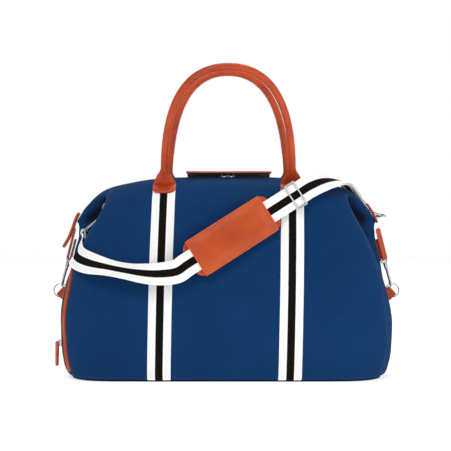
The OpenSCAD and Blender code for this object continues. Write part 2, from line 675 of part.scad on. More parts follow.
front_panel();
back_panel();
left_end_panel();
right_end_panel();
bottom_panel();
lining();
base_board();
front_left_band();
front_right_band();
back_left_band();
back_right_band();
front_left_patch();
front_right_patch();
back_left_patch();
back_right_patch();
front_handle();
back_handle();
flap_leather();
flap_lining();
top_zip_tape();
top_zip_teeth();
left_slider();
right_slider();
left_pull();
right_pull();
left_zip_end();
right_zip_end();
left_ear_tab();
right_ear_tab();
left_ear_eye();
right_ear_eye();
left_ear_hook();
right_ear_hook();
left_ear_gate();
right_ear_gate();
left_side_ring();
right_side_ring();
left_side_tab();
right_side_tab();
left_d_ring();
right_d_ring();
left_chape();
right_chape();
left_strap_eye();
right_strap_eye();
left_strap_hook();
right_strap_hook();
left_strap_gate();
right_strap_gate();
shoulder_strap();
strap_return();
strap_adjuster();
strap_pad();
strap_pad_base();
side_zip_binding();
side_zip_tape();
side_slider();
side_pull();
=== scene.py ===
"""Canvas weekender bag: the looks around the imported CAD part. Metres, same frame as the CAD."""

import math

import bmesh
import bpy
import numpy as np
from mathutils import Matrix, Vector, noise


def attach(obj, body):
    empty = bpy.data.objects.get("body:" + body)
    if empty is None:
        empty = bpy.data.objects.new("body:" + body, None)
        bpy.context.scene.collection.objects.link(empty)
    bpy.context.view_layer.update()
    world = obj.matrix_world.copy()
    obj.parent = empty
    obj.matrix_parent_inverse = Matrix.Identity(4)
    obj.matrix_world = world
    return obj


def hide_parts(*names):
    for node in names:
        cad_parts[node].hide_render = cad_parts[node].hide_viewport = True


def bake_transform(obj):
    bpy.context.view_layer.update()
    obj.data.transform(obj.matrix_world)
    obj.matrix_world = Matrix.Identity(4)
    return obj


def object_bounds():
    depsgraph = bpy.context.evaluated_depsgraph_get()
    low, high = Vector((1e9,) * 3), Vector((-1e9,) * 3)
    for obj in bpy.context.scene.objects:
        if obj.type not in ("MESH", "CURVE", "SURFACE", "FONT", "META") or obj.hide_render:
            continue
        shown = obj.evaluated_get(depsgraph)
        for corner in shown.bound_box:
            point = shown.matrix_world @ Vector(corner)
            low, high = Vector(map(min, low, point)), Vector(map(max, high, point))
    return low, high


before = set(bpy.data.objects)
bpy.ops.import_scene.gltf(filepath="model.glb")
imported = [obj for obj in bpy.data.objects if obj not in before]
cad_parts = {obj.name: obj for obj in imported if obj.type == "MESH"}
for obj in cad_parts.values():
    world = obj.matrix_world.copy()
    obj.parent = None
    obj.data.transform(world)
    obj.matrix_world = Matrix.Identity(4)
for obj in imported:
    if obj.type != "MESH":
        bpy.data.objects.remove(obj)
CAD_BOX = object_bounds()

MM = 0.001

# ---- camera, light and floor ----

CAMERA_BACK = 1.52
CAMERA_HEIGHT = 0.255
LENS_MM = 69.1


def make_camera():
    data = bpy.data.cameras.new("camera")
    data.lens = LENS_MM
    data.sensor_width = 36.0
    camera = bpy.data.objects.new("camera", data)
    bpy.context.scene.collection.objects.link(camera)
    camera.location = (-0.0016, -CAMERA_BACK, CAMERA_HEIGHT)
    camera.rotation_euler = (math.radians(90), 0, 0)
    bpy.context.scene.camera = camera


LIGHT_TARGET = Vector((0, 0, 0.2))


def area_light(name, place, size, power):
    data = bpy.data.lights.new(name, "AREA")
    data.shape = "DISK"
    data.size = size
    data.energy = power
    light = bpy.data.objects.new(name, data)
    bpy.context.scene.collection.objects.link(light)
    light.location = place
    light.rotation_euler = (LIGHT_TARGET - Vector(place)).to_track_quat("-Z", "Y").to_euler()


def make_lights():
    area_light("key", (-0.9, -1.8, 1.9), 1.1, 24)
    area_light("fill", (1.9, -1.2, 1.0), 1.2, 15)
    area_light("top", (0.1, 0.5, 2.2), 1.2, 16)
    world = bpy.data.worlds.new("studio")
    bpy.context.scene.world = world
    world.use_nodes = True
    tree = world.node_tree
    background = tree.nodes["Background"]
    background.inputs["Color"].default_value = (1, 1, 1, 1)
    background.inputs["Strength"].default_value = 0.45
    backdrop = node(tree, "Background", {}, (1, 1, 1, 1))
    seen = node(tree, "LightPath", {}).outputs["Is Camera Ray"]
    mix = node(tree, "MixShader", {}, seen, background.outputs[0], backdrop.outputs[0])
    tree.links.new(mix.outputs[0], tree.nodes["World Output"].inputs[0])
    bpy.context.scene.view_settings.view_transform = "Standard"


# ---- node helpers ----


def new_material(name):
    material = bpy.data.materials.new(name)
    material.use_nodes = True
    tree = material.node_tree
    shader = tree.nodes["Principled BSDF"]
    return material, tree, shader


def set_shader(shader, **values):
    """Sets the shader's own sockets, named with underscores for spaces."""
    for key, value in values.items():
        shader.inputs[key.replace("_", " ")].default_value = value


def feed(tree, socket, value):
    """Links a socket to the value if it is a socket too, or sets it."""
    if isinstance(value, bpy.types.NodeSocket):
        tree.links.new(value, socket)
    else:
        socket.default_value = value


def node(tree, kind, settings, *inputs, **named):
    """A shader node with its settings and its inputs, in order or by name."""
    made = tree.nodes.new("ShaderNode" + kind)
    for key, value in settings.items():
        setattr(made, key, value)
    for k, value in enumerate(inputs):
        feed(tree, made.inputs[k], value)
    for key, value in named.items():
        feed(tree, made.inputs[key], value)
    return made


def calc(tree, operation, a, b=0.0):
    return node(tree, "Math", {"operation": operation}, a, b).outputs[0]


def times(tree, a, b):
    return calc(tree, "MULTIPLY", a, b)


def plus(tree, a, b):
    return calc(tree, "ADD", a, b)


def position(tree):
    return node(tree, "TexCoord", {}).outputs["Object"]


def noise_at(tree, where, scale, detail=2.0, stretch=None):
    if stretch:
        where = node(tree, "VectorMath", {"operation": "MULTIPLY"}, where, stretch).outputs[0]
    return node(tree, "TexNoise", {}, Vector=where, Scale=scale, Detail=detail).outputs[0]


def blend_colours(tree, factor, a, b):
    mix = node(tree, "Mix", {"data_type": "RGBA"}, factor)
    for socket, value in ((mix.inputs[6], a), (mix.inputs[7], b)):
        feed(tree, socket, (*value, 1) if isinstance(value, tuple) else value)
    return mix.outputs[2]


def ramp(tree, value, low, high):
    """0 below low, 1 above high, and a straight line between."""
    return node(tree, "MapRange", {"clamp": True}, value, low, high, 0.0, 1.0).outputs[0]


def add_bump(tree, shader, height, distance, strength=1.0):
    bump = node(tree, "Bump", {}, Height=height, Distance=distance, Strength=strength)
    tree.links.new(bump.outputs[0], shader.inputs["Normal"])


def wave(tree, where, axis, period):
    scale = 2 * math.pi / (20 * period)
    settings = {"wave_type": "BANDS", "bands_direction": axis}
    return node(tree, "TexWave", settings, Vector=where, Scale=scale).outputs[1]


# ---- materials ----


def canvas_material(name, dark, light):
    """Plain-woven cotton canvas: slubby threads at about 1 mm, cloudy dye and painted shade that darkens
    the folded-in valleys.
    """
    material, tree, shader = new_material(name)
    where = position(tree)
    clouds = noise_at(tree, where, 7, 3)
    warp = noise_at(tree, where, 620, 3, (1, 1, 0.3))
    weft = noise_at(tree, where, 620, 3, (0.3, 0.3, 1))
    slub = plus(tree, times(tree, warp, 0.5), times(tree, weft, 0.5))
    tone = plus(tree, times(tree, clouds, 0.45), times(tree, slub, 0.75))
    body = blend_colours(tree, ramp(tree, tone, 0.38, 0.82), dark, light)
    # Painted shade: inside the folded-in valleys the canvas colour is blended towards near black, standing
    # in for the shadow there.
    painted_shade_mask = node(tree, "Attribute", {"attribute_name": "painted_shade_mask"}).outputs["Fac"]
    painted_shade_colour = tuple(0.05 * c for c in dark)
    tree.links.new(blend_colours(tree, painted_shade_mask, body, painted_shade_colour), shader.inputs["Base Color"])
    threads = times(tree, wave(tree, where, "X", 0.0011), wave(tree, where, "Z", 0.0011))
    add_bump(tree, shader, plus(tree, times(tree, threads, 0.5), slub), 0.0005, 0.6)
    set_shader(shader, Roughness=0.9, Specular_IOR_Level=0.1, Sheen_Weight=0.02)
    return material


def leather_material(name, dark, light, roughness=0.42, coat=0.05):
    """Smooth tan leather: fine grain, faint pores, cloudy colour and a lighter tone on sharp convex edges.
    """
    material, tree, shader = new_material(name)
    where = position(tree)
    clouds = noise_at(tree, where, 22, 4)
    grain = noise_at(tree, where, 900, 3)
    cells = node(tree, "TexVoronoi", {"feature": "DISTANCE_TO_EDGE"}, Vector=where, Scale=700.0).outputs[0]
    tone = plus(tree, times(tree, clouds, 0.8), times(tree, grain, 0.25))
    body = blend_colours(tree, ramp(tree, tone, 0.36, 0.74), dark, light)
    # Lighter colour on the sharp convex edges, found by pointiness.
    sharp_edge_mask = ramp(tree, node(tree, "NewGeometry", {}).outputs["Pointiness"], 0.52, 0.6)
    edge = tuple(min(1.0, 1.25 * c) for c in light)
    tree.links.new(blend_colours(tree, sharp_edge_mask, body, edge), shader.inputs["Base Color"])
    height = plus(tree, ramp(tree, cells, 0.0, 0.25), times(tree, grain, 0.6))
    add_bump(tree, shader, height, 0.00018, 0.5)
    set_shader(shader, Roughness=roughness, Specular_IOR_Level=0.3, Coat_Weight=coat, Coat_Roughness=0.3)
    return material


WEBBING_W = 38 * MM
# Half the width of the black stripe.
STRIPE = WEBBING_W / 6


def webbing_material():
    """White cotton webbing with a black middle third, serrated where the colours meet."""
    material, tree, shader = new_material("striped_webbing")
    uv = node(tree, "UVMap", {"uv_map": "strip"}).outputs[0]
    split = node(tree, "SeparateXYZ", {}, uv)
    along, across = split.outputs[0], split.outputs[1]
    away = calc(tree, "ABSOLUTE", across)
    tooth = calc(tree, "PINGPONG", along, 0.0011)
    serrated = plus(tree, away, times(tree, tooth, 0.55))
    black = calc(tree, "LESS_THAN", serrated, STRIPE + 0.0003)
    rib = calc(tree, "PINGPONG", plus(tree, along, away), 0.0009)
    rib = ramp(tree, rib, 0.0, 0.0009)
    middle = calc(tree, "ABSOLUTE", calc(tree, "SUBTRACT", away, 2 * STRIPE))
    inner = calc(tree, "LESS_THAN", middle, 0.62 * STRIPE)
    fuzz = noise_at(tree, position(tree), 600, 2)
    shade = times(tree, inner, times(tree, rib, 0.30))
    shade = plus(tree, shade, times(tree, fuzz, 0.10))
    white = blend_colours(tree, shade, (0.93, 0.93, 0.92), (0.50, 0.50, 0.51))
    ink = blend_colours(tree, rib, (0.002, 0.0012, 0.0008), (0.009, 0.006, 0.0045))
    tree.links.new(blend_colours(tree, black, white, ink), shader.inputs["Base Color"])
    add_bump(tree, shader, plus(tree, rib, times(tree, fuzz, 0.4)), 0.0004, 0.6)
    set_shader(shader, Roughness=0.8, Specular_IOR_Level=0.06)
    return material


def tape_material():
    """Black herringbone zip tape."""
    material, tree, shader = new_material("black_zip_tape")
    where = position(tree)
    fuzz = noise_at(tree, where, 500, 2)
    colour = blend_colours(tree, fuzz, (0.004, 0.004, 0.004), (0.02, 0.018, 0.016))
    tree.links.new(colour, shader.inputs["Base Color"])
    add_bump(tree, shader, wave(tree, where, "DIAGONAL", 0.0012), 0.0003, 0.5)
    set_shader(shader, Roughness=0.75)
    return material


def metal_material(name, colour, roughness):
    """Plated metal with faint handling smears."""
    material, tree, shader = new_material(name)
    where = position(tree)
    smear = noise_at(tree, where, 60, 3)
    scratch = noise_at(tree, where, 500, 2, (1, 0.1, 1))
    tone = plus(tree, times(tree, smear, roughness * 0.8), roughness * 0.7)
    tree.links.new(tone, shader.inputs["Roughness"])
    tree.links.new(
        blend_colours(tree, smear, tuple(0.86 * c for c in colour), colour), shader.inputs["Base Color"]
    )
    add_bump(tree, shader, scratch, 0.00004, 0.3)
    set_shader(shader, Metallic=1.0)
    return material


def thread_material(name, colour):
    """Waxed sewing thread with a fine twist."""
    material, tree, shader = new_material(name)
    where = position(tree)
    twist = wave(tree, where, "DIAGONAL", 0.0005)
    darker = tuple(0.6 * c for c in colour)
    tree.links.new(blend_colours(tree, twist, darker, colour), shader.inputs["Base Color"])
    set_shader(shader, Roughness=0.55)
    return material


CANVAS = canvas_material("blue_canvas", (0.0012, 0.0225, 0.083), (0.0032, 0.040, 0.136))
BASE_CANVAS = canvas_material("base_canvas", (0.001, 0.014, 0.048), (0.002, 0.022, 0.075))
LEATHER = leather_material("tan_leather", (0.30, 0.026, 0.0022), (0.50, 0.062, 0.0065))
PAD_LEATHER = leather_material("pad_leather", (0.36, 0.040, 0.0035), (0.52, 0.075, 0.0085), 0.36, 0.1)
WEBBING = webbing_material()
TAPE = tape_material()
LINING = canvas_material("black_lining", (0.006, 0.006, 0.008), (0.015, 0.015, 0.018))
CHROME = metal_material("plated_steel", (0.56, 0.57, 0.59), 0.22)
TEETH = metal_material("zip_teeth", (0.32, 0.32, 0.33), 0.35)
BOARD = leather_material("fibre_board", (0.05, 0.042, 0.035), (0.09, 0.078, 0.066), 0.8, 0.0)
THREAD = thread_material("tan_thread", (0.62, 0.25, 0.10))
BLUE_THREAD = thread_material("blue_thread", (0.02, 0.09, 0.24))
WHITE_THREAD = thread_material("white_thread", (0.8, 0.8, 0.78))

# Kinds of stitching: the pitch, the thread's radius and the thread.
CANVAS_STITCH = (4 * MM, 0.28 * MM, BLUE_THREAD)
BAND_STITCH = (3.6 * MM, 0.24 * MM, WHITE_THREAD)
PAD_STITCH = (4.6 * MM, 0.45 * MM, THREAD)
LEATHER_STITCH = (4.2 * MM, 0.42 * MM, THREAD)
HANDLE_STITCH = (4.2 * MM, 0.4 * MM, THREAD)
TAB_STITCH = (3.8 * MM, 0.42 * MM, THREAD)
RING_TAB_STITCH = (3.6 * MM, 0.42 * MM, THREAD)
TAIL_STITCH = (3.6 * MM, 0.4 * MM, THREAD)

# ---- the shell's outer face ----

# Control net of one quarter of the bag: rows from the base to the zip line, columns from the middle
# of the front, over the rim and the valley, to the ear's ridge. Each point is [x, y, height] in mm.
NET = [
    [[0, 107, 3], [130, 107, 3], [214, 103, 3], [252, 78, 3], [262, 40, 3], [264, 0, 3]],
    [[0, 115, 12], [134, 115, 12], [224, 110, 12], [262, 84, 12], [270, 42, 12], [272, 0, 12]],
    [[0, 119, 50], [138, 119, 50], [231, 114, 50], [270, 88, 50], [277, 44, 50], [279, 0, 50]],
    [[0, 120, 100], [138, 119, 100], [233, 112, 100], [272, 84, 100], [279, 42, 100], [281, 0, 98]],
    [[0, 118, 150], [134, 117, 150], [228, 106, 150], [266, 78, 150], [268, 42, 146], [277, 0, 142]],
    [[0, 111, 198], [128, 110, 198], [216, 99, 197], [252, 75, 196], [243, 44, 188], [271, 0, 182]],
    [[0, 102, 240], [122, 101, 239], [203, 91, 238], [237, 72, 233], [212, 46, 222], [267, 0, 212]],
    [[0, 92, 275], [115, 91, 274], [192, 82, 271], [219, 67, 264], [188, 44, 250], [261, 0, 232]],
    [[0, 83, 302], [111, 82, 300], [184, 73, 295], [208, 59, 285], [174, 42, 268], [260, 0, 243]],
    [[0, 68, 322], [109, 66, 320], [177, 57, 312], [206, 45, 301], [182, 38, 283], [259.5, 0, 250]],
    [[0, 42, 335], [108, 40, 333], [173, 34, 323], [208, 27, 311], [214, 24, 292], [260, 0, 256]],
    [[0, 12, 339], [108, 12, 337], [171, 11, 328], [214, 10, 315], [244, 8, 288], [262, 0, 262]],
]
TOP_ROW = len(NET) - 1
RING_COLUMNS = 20
SEAM = 2.66


def ring_of_net():
    """The net carried round the bag: column 0 is the front's middle, 5 the right ridge, 15 the left."""
    ring = np.zeros((len(NET), RING_COLUMNS, 3))
    for j, row in enumerate(NET):
        for m in range(RING_COLUMNS):
            behind = 5 < m < 15
            q = m if m <= 5 else (10 - m if m < 15 else m - RING_COLUMNS)
            x, y, z = row[abs(q)]
            ring[j, m] = (np.sign(q) * x, y if behind else -y, z)
    return ring * MM


RING = ring_of_net()


def catmull(a, b, c, d, t):
    return 0.5 * (
        2 * b + (c - a) * t + (2 * a - 5 * b + 4 * c - d) * t**2 + (3 * b - a - 3 * c + d) * t**3
    )


def wall_at(u, r):
    """Points of the outer face at columns u and rows r."""
    u, r = np.broadcast_arrays(np.asarray(u, float), np.asarray(r, float))
    i = np.floor(u).astype(int)
    k = np.clip(np.floor(r), 0, TOP_ROW - 1).astype(int)
    t, s = (u - i)[..., None], (r - k)[..., None]

    def row(j):
        j = np.clip(j, 0, TOP_ROW)
        return catmull(*[RING[j, (i + d) % RING_COLUMNS] for d in (-1, 0, 1, 2)], t)

    return catmull(row(k - 1), row(k), row(k + 1), row(k + 2), s)


def unit(v):
    v = np.asarray(v, float)
    return v / np.maximum(np.linalg.norm(v, axis=-1, keepdims=True), 1e-12)


def wall_normal(u, r):
    du = wall_at(np.add(u, 0.04), r) - wall_at(np.subtract(u, 0.04), r)
    dr = wall_at(u, np.minimum(np.add(r, 0.04), TOP_ROW)) - wall_at(u, np.maximum(np.subtract(r, 0.04), 0))
    return unit(np.cross(du, dr))


def cloth_lift(u, r):
    """How far the filled canvas stands out of or sinks below the smooth face, in metres."""
    p = wall_at(u, r)
    shape = p.shape[:-1]
    flat = p.reshape(-1, 3)
    rows = np.broadcast_to(r, shape).reshape(-1)
    out = np.zeros(len(flat))
    for n, (x, y, z) in enumerate(flat):
        broad = noise.noise(Vector((x * 7, y * 7 + 3.1, z * 7)))
        crease = noise.noise(Vector((x * 26 + z * 14, y * 20, z * 10 - x * 6)))
        ends = min(1.0, max(0.0, (abs(x) - 0.13) / 0.12))
        out[n] = 0.0016 * broad + (0.0005 + 0.0016 * ends) * crease
    edge = np.clip(np.minimum(rows / 0.8, (TOP_ROW - rows) / 0.8), 0, 1)
    return (out * edge).reshape(shape)


def raised(u, r, out=0.0):
    """Points of the canvas moved out by a distance."""
    return wall_at(u, r) + (cloth_lift(u, r) + out)[..., None] * wall_normal(u, r)


# ---- mesh helpers ----


def make_object(name, points, faces, material, uvs=None, sharp_angle=50):
    mesh = bpy.data.meshes.new(name)
    mesh.from_pydata([tuple(p) for p in points], [], [tuple(f) for f in faces])
    mesh.validate()
    shape = bmesh.new()
    shape.from_mesh(mesh)
    bmesh.ops.recalc_face_normals(shape, faces=shape.faces)
    shape.to_mesh(mesh)
    shape.free()
    if uvs is not None:
        layer = mesh.uv_layers.new(name="strip")
        for loop in mesh.loops:
            layer.data[loop.index].uv = uvs[loop.vertex_index]
    mesh.materials.append(material)
    mesh.polygons.foreach_set("use_smooth", [True] * len(mesh.polygons))
    mesh.set_sharp_from_angle(angle=math.radians(sharp_angle))
    made = bpy.data.objects.new(name, mesh)
    bpy.context.scene.collection.objects.link(made)
    return made


def grid_faces(rows, columns, close_columns=False):
    last = columns if close_columns else columns - 1
    faces = []
    for i in range(rows - 1):
        here, above = i * columns, (i + 1) * columns
        for j in range(last):
            m = (j + 1) % columns
            faces.append((here + j, here + m, above + m, above + j))
    return faces


def slab_object(name, outer, inner, material, uvs=None):
    """Closed slab between two equal grids of points, the first on its outer side."""
    rows, columns = outer.shape[:2]
    half = rows * columns
    faces = grid_faces(rows, columns)
    faces += [tuple(half + v for v in reversed(f)) for f in grid_faces(rows, columns)]
    rim = list(range(columns))
    rim += [i * columns + columns - 1 for i in range(1, rows)]
    rim += [(rows - 1) * columns + j for j in range(columns - 2, -1, -1)]
    rim += [i * columns for i in range(rows - 2, 0, -1)]
    for a, b in zip(rim, rim[1:] + rim[:1]):
        faces.append((b, a, half + a, half + b))
    points = np.concatenate([outer.reshape(-1, 3), inner.reshape(-1, 3)])
    if uvs is not None:
        uvs = [tuple(v) for v in np.concatenate([uvs.reshape(-1, 2)] * 2)]
    return make_object(name, points, faces, material, uvs)


def rounded_section(width, thick, across_steps=8):
    """Outline of a flat strip with rounded edges, as (across, lift) pairs."""
    r = thick / 2
    flat = width / 2 - r
    top = [(a, r) for a in np.linspace(-flat, flat, across_steps)]
    right = [(flat + r * math.sin(a), r * math.cos(a)) for a in np.radians([30, 60, 90, 120, 150])]
    bottom = [(a, -r) for a in np.linspace(flat, -flat, across_steps)]
    left = [(-flat - r * math.sin(a), -r * math.cos(a)) for a in np.radians([30, 60, 90, 120, 150])]
    return top + right + bottom + left


def distances(path):
    """How far along its path each point is."""
    return np.concatenate([[0], np.cumsum(np.linalg.norm(np.diff(path, axis=0), axis=1))])


def point_at(s, lengths, path):
    """The point of a path at a distance along it."""
    return np.array([np.interp(s, lengths, path[:, d]) for d in range(3)])


def frames_along(points, across):
    """Directions across a path and out of its face, at each point."""
    ahead = unit(np.gradient(points, axis=0))
    side = unit(across - (across * ahead).sum(1, keepdims=True) * ahead)
    return side, np.cross(ahead, side)


def sweep(name, points, across, sections, material):
    """A section, or one for each point, carried along points, with its ends closed."""
    points = np.asarray(points, float)
    side, lift = frames_along(points, np.asarray(across, float))
    if not isinstance(sections[0][0], (tuple, list, np.ndarray)):
        sections = [sections] * len(points)
    count = len(sections[0])
    steps = distances(points)
    vertices, uvs = [], []
    for i, section in enumerate(sections):
        for a, b in section:
            vertices.append(points[i] + a * side[i] + b * lift[i])
            uvs.append((steps[i], a))
    faces = [tuple(reversed(f)) for f in grid_faces(len(points), count, True)]
    faces.append(tuple(range(count)))
    faces.append(tuple(reversed(range((len(points) - 1) * count, len(points) * count))))
    return make_object(name, vertices, faces, material, uvs)


def settle(obj, body, slot, *nodes):
    """Says what a piece rides on and hides the CAD nodes that it stands for; the slot is not used."""
    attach(obj, body)
    if nodes:
        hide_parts(*nodes)
    return obj


def stitches(name, path, normals, kind, body, slot="leather"):
    """A row of short raised stitches along a path, half sunk in the surface."""
    pitch, thread_r, material = kind
    path = np.asarray(path, float)
    normals = unit(np.broadcast_to(normals, path.shape))
    lengths = distances(path)
    count = max(1, int(lengths[-1] / pitch))
    points, faces = [], []
    for k in range(count):
        ends = [(k + 0.16) * lengths[-1] / count, (k + 0.84) * lengths[-1] / count]
        here = np.array([point_at(s, lengths, path) for s in np.linspace(*ends, 4)])
        out = unit(point_at(ends[0], lengths, normals))
        ahead = unit(here[-1] - here[0])
        side = np.cross(out, ahead)
        base = len(points)
        for q, (place, r) in enumerate(zip(here, (0.35, 1.0, 1.0, 0.35))):
            for a in np.linspace(0, 2 * math.pi, 6, False):
                points.append(place + thread_r * r * (math.cos(a) * side + math.sin(a) * out))
        for q in range(3):
            for m in range(6):
                a, b = base + q * 6 + m, base + q * 6 + (m + 1) % 6
                faces.append((a, b, b + 6, a + 6))
        faces.append(tuple(base + m for m in reversed(range(6))))
        faces.append(tuple(base + 18 + m for m in range(6)))
    return settle(make_object(name, points, faces, material), body, slot)


def oval_section(width, thick, power=2.0, sides=24):
    """Closed outline between a circle (power 2) and a flat strip with rounded edges (power 5)."""
    found = []
    for a in np.linspace(0, 2 * math.pi, sides, False):
        c, s = math.cos(a), math.sin(a)
        a, b = abs(c) ** (2 / power), abs(s) ** (2 / power)
        found.append((width / 2 * math.copysign(a, c), thick / 2 * math.copysign(b, s)))
    return found


def tapered_sections(count, width, thick, steps, power=5.0):
    """Sections of a strip whose ends are rounded over a few steps."""
    found = []
    for k in range(count):
        near = min(k, count - 1 - k)
        taper = 1.0 if near >= steps else 0.72 + 0.28 * math.sqrt(1 - (1 - near / steps) ** 2)
        found.append(oval_section(width * taper, thick, power))
    return found


# ---- shoulder strap ----

WEBBING_T = 1.6 * MM
GAP = 0.3 * MM
PAD_AT = np.array([9.5, -119, 238.5]) * MM
STRAP_LINE = unit([0.843, 0.15, 0.537])
STRAP_ACROSS = unit([-0.537, 0, 0.843])


def on_line(s):
    return PAD_AT + s * MM * STRAP_LINE


# Route of the webbing from the left hook, through the pad and the adjuster, to the right hook:
# each point with the direction of the webbing's width.
ROUTE = [
    ([-236, -47, 225], [0, -1, 0]),
    ([-237.4, -47, 234], [0, -1, 0]),
    ([-238.2, -47, 244], [0, -1, 0]),
    ([-241.2, -47, 248.2], [0, -1, 0]),
    ([-244.2, -47, 244], [0, -1, 0]),
    ([-244.3, -50, 231.6], [0, -1, 0]),
    ([-249.9, -67.3, 216], [0.4, -0.78, 0.47]),
    ([-247, -91.7, 203.5], [0.72, -0.39, 0.58]),
    ([-224.5, -116.6, 194.5], [0.48, 0.32, 0.82]),
    ([-193, -129, 188], [0.22, 0.75, 0.62]),
    ([-160, -134, 182], [0.05, 0.78, 0.62]),
    ([-132, -137, 178.5], [-0.1, 0.6, 0.79]),
    ([-108, -137, 177.5], [-0.25, 0.35, 0.9]),
    *[(on_line(s) / MM, STRAP_ACROSS) for s in (-108, -88, -60, -30, 0, 40, 80, 110, 138, 150)],
    ([152, -82, 326], [-0.55, 0.3, 0.75]),
    ([170, -64, 331], [-0.5, 0.65, 0.55]),
    ([191, -36, 332.5], [-0.6, 0.75, 0.25]),
    ([211, -6, 327], [-0.6, 0.8, 0.2]),
    ([236, 26, 300], [-0.5, 0.8, 0.2]),
    ([257, 37, 284], [-0.15, 0.97, 0.1]),
    ([273, 42, 277], [0, 1, 0]),
    ([282.5, 42, 275], [0, 1, 0]),
    ([285, 42, 271], [0, 1, 0]),
]
ROUTE_POINTS = np.array([p for p, _ in ROUTE]) * MM
ROUTE_SIDES = unit(np.array([s for _, s in ROUTE]))
# The doubled layer runs between these places of the route, this far under the strap.
RETURN_STEPS = (22, 29)
RETURN_DROP = 2.8 * MM


def along(controls, s):
    """Catmull-Rom position at parameters s, which count the controls from 0."""
    last = len(controls) - 1
    s = np.asarray(s, float)
    i = np.clip(np.floor(s).astype(int), 0, last - 1)
    picks = [controls[np.clip(i + d, 0, last)] for d in (-1, 0, 1, 2)]
    return catmull(*picks, (s - i)[:, None])


def make_strap():
    steps = np.linspace(0, len(ROUTE) - 1, (len(ROUTE) - 1) * 7 + 1)
    path = along(ROUTE_POINTS, steps)
    sides = along(ROUTE_SIDES, steps)
    strap = sweep("strap_webbing", path, sides, rounded_section(WEBBING_W, WEBBING_T, 9), WEBBING)
    settle(strap, "root", "webbing", "shoulder_strap")
    steps = np.linspace(*RETURN_STEPS, 60)
    ahead = unit(along(ROUTE_POINTS, steps + 0.1) - along(ROUTE_POINTS, steps - 0.1))
    sides = along(ROUTE_SIDES, steps)
    under = along(ROUTE_POINTS, steps) - RETURN_DROP * unit(np.cross(ahead, sides))
    layer = sweep("strap_webbing_return", under, sides, rounded_section(37 * MM, WEBBING_T, 9), WEBBING)
    settle(layer, "root", "webbing", "strap_return")
    return strap, layer, path


def declare_strap(strap, layer, path):
    steps = np.linalg.norm(np.diff(path, axis=0), axis=1)
    tuple(path[0])
    [tuple(p) for p in path]


# ---- shoulder pad ----

PAD_L = 142 * MM
PAD_W = 65 * MM
LOBE_R = 13 * MM
STRAP_UP = unit(STRAP_ACROSS - (STRAP_ACROSS @ STRAP_LINE) * STRAP_LINE)
STRAP_IN = np.cross(STRAP_UP, STRAP_LINE)


def on_pad(x, z, out):
    """Points of the pad from its middle: x along the strap, z across it and out of the bag."""
    x, z, out = np.broadcast_arrays(x, z, out)
    return PAD_AT + x[..., None] * STRAP_LINE + z[..., None] * STRAP_UP - out[..., None] * STRAP_IN


def rounded_corners(x, z, half_l, half_w, r):
    """Moves the grid points past a rounded corner back on to it."""
    cx, cz = np.abs(x) - (half_l - r), np.abs(z) - (half_w - r)
    reach = np.hypot(cx, cz)
    past = (cx > 0) & (cz > 0) & (reach > r)
    scale = np.where(past, r / np.maximum(reach, 1e-9), 1.0)
    x = np.where(past, np.sign(x) * (half_l - r + cx * scale), x)
    z = np.where(past, np.sign(z) * (half_w - r + cz * scale), z)
    return x, z


def surface_noise(x, z, scale, layer, height):
    """Gentle unevenness of a sheet; each layer of the noise has another pattern."""
    pairs = zip(x.ravel() * scale, z.ravel() * scale)
    return height * np.array([noise.noise(Vector((a, b, layer))) for a, b in pairs]).reshape(x.shape)


def pad_crown(x, z):
    """Height of the filled middle over the stitched edge, from 0 to 1."""
    ex = np.clip((PAD_L / 2 - 5 * MM - np.abs(x)) / (16 * MM), 0, 1)
    ez = np.clip((PAD_W / 2 - 5 * MM - np.abs(z)) / (15 * MM), 0, 1)
    return np.sin(ex * math.pi / 2) * np.sin(ez * math.pi / 2)


def make_pad():
    i, j = np.meshgrid(np.linspace(-1, 1, 73), np.linspace(-1, 1, 39), indexing="xy")
    x, z = rounded_corners(i * PAD_L / 2, j * PAD_W / 2, PAD_L / 2, PAD_W / 2, 6 * MM)
    low = WEBBING_T / 2 + GAP
    edge = np.clip(np.minimum(PAD_L / 2 - np.abs(x), PAD_W / 2 - np.abs(z)) / (1.6 * MM), 0, 1)
    channel = np.exp(-(((PAD_W / 2 - 4.5 * MM - np.abs(z)) / (1.1 * MM)) ** 2))
    height = 2.0 * MM + 0.8 * MM * np.sqrt(edge * (2 - edge)) - 0.5 * MM * channel
    height = height + 3.4 * MM * pad_crown(x, z) + surface_noise(x, z, 45, 1.7, 0.35 * MM)
    top = slab_object("shoulder_pad_top", on_pad(x, z, low + height), on_pad(x, z, low), PAD_LEATHER)
    settle(top, "strap_pad", "leather", "strap_pad")

    side = np.linspace(-PAD_W / 2, PAD_W / 2, 61)
    past = np.clip(LOBE_R**2 - (np.abs(side) - (PAD_W / 2 - LOBE_R - 2 * MM)) ** 2, 0, None)
    ends = np.maximum(PAD_L / 2, PAD_L / 2 - 3 * MM + np.sqrt(past))
    x = np.linspace(-1, 1, 81)[None, :] * ends[:, None]
    z = np.broadcast_to(side[:, None], x.shape)
    rim = np.clip(np.minimum(ends[:, None] - np.abs(x), PAD_W / 2 - np.abs(z)) / (1.2 * MM), 0, 1)
    round_off = 0.8 * MM * (1 - np.sqrt(rim * (2 - rim)))
    outer = on_pad(x, z, -low - round_off)
    inner = on_pad(x, z, -low - 2.4 * MM + round_off)
    base = slab_object("shoulder_pad_base", outer, inner, LEATHER)
    settle(base, "strap_pad", "leather", "strap_pad_base")

    for sign in (-1, 1):
        run = np.linspace(-PAD_L / 2 + 3 * MM, PAD_L / 2 - 3 * MM, 60)
        line = on_pad(run, np.full(60, sign * (PAD_W / 2 - 4.5 * MM)), np.full(60, low + 2.45 * MM))
        name = "pad_stitching_" + ("upper" if sign > 0 else "lower")
        stitches(name, line, -STRAP_IN, PAD_STITCH, "strap_pad")
    return top, base


# ---- canvas shell ----

WALL = 3 * MM
STITCH_LIFT = 0.1 * MM
# Steps of the panels' mesh for each column and row of the net.
COLUMN_STEPS = 22
ROW_STEPS = 9


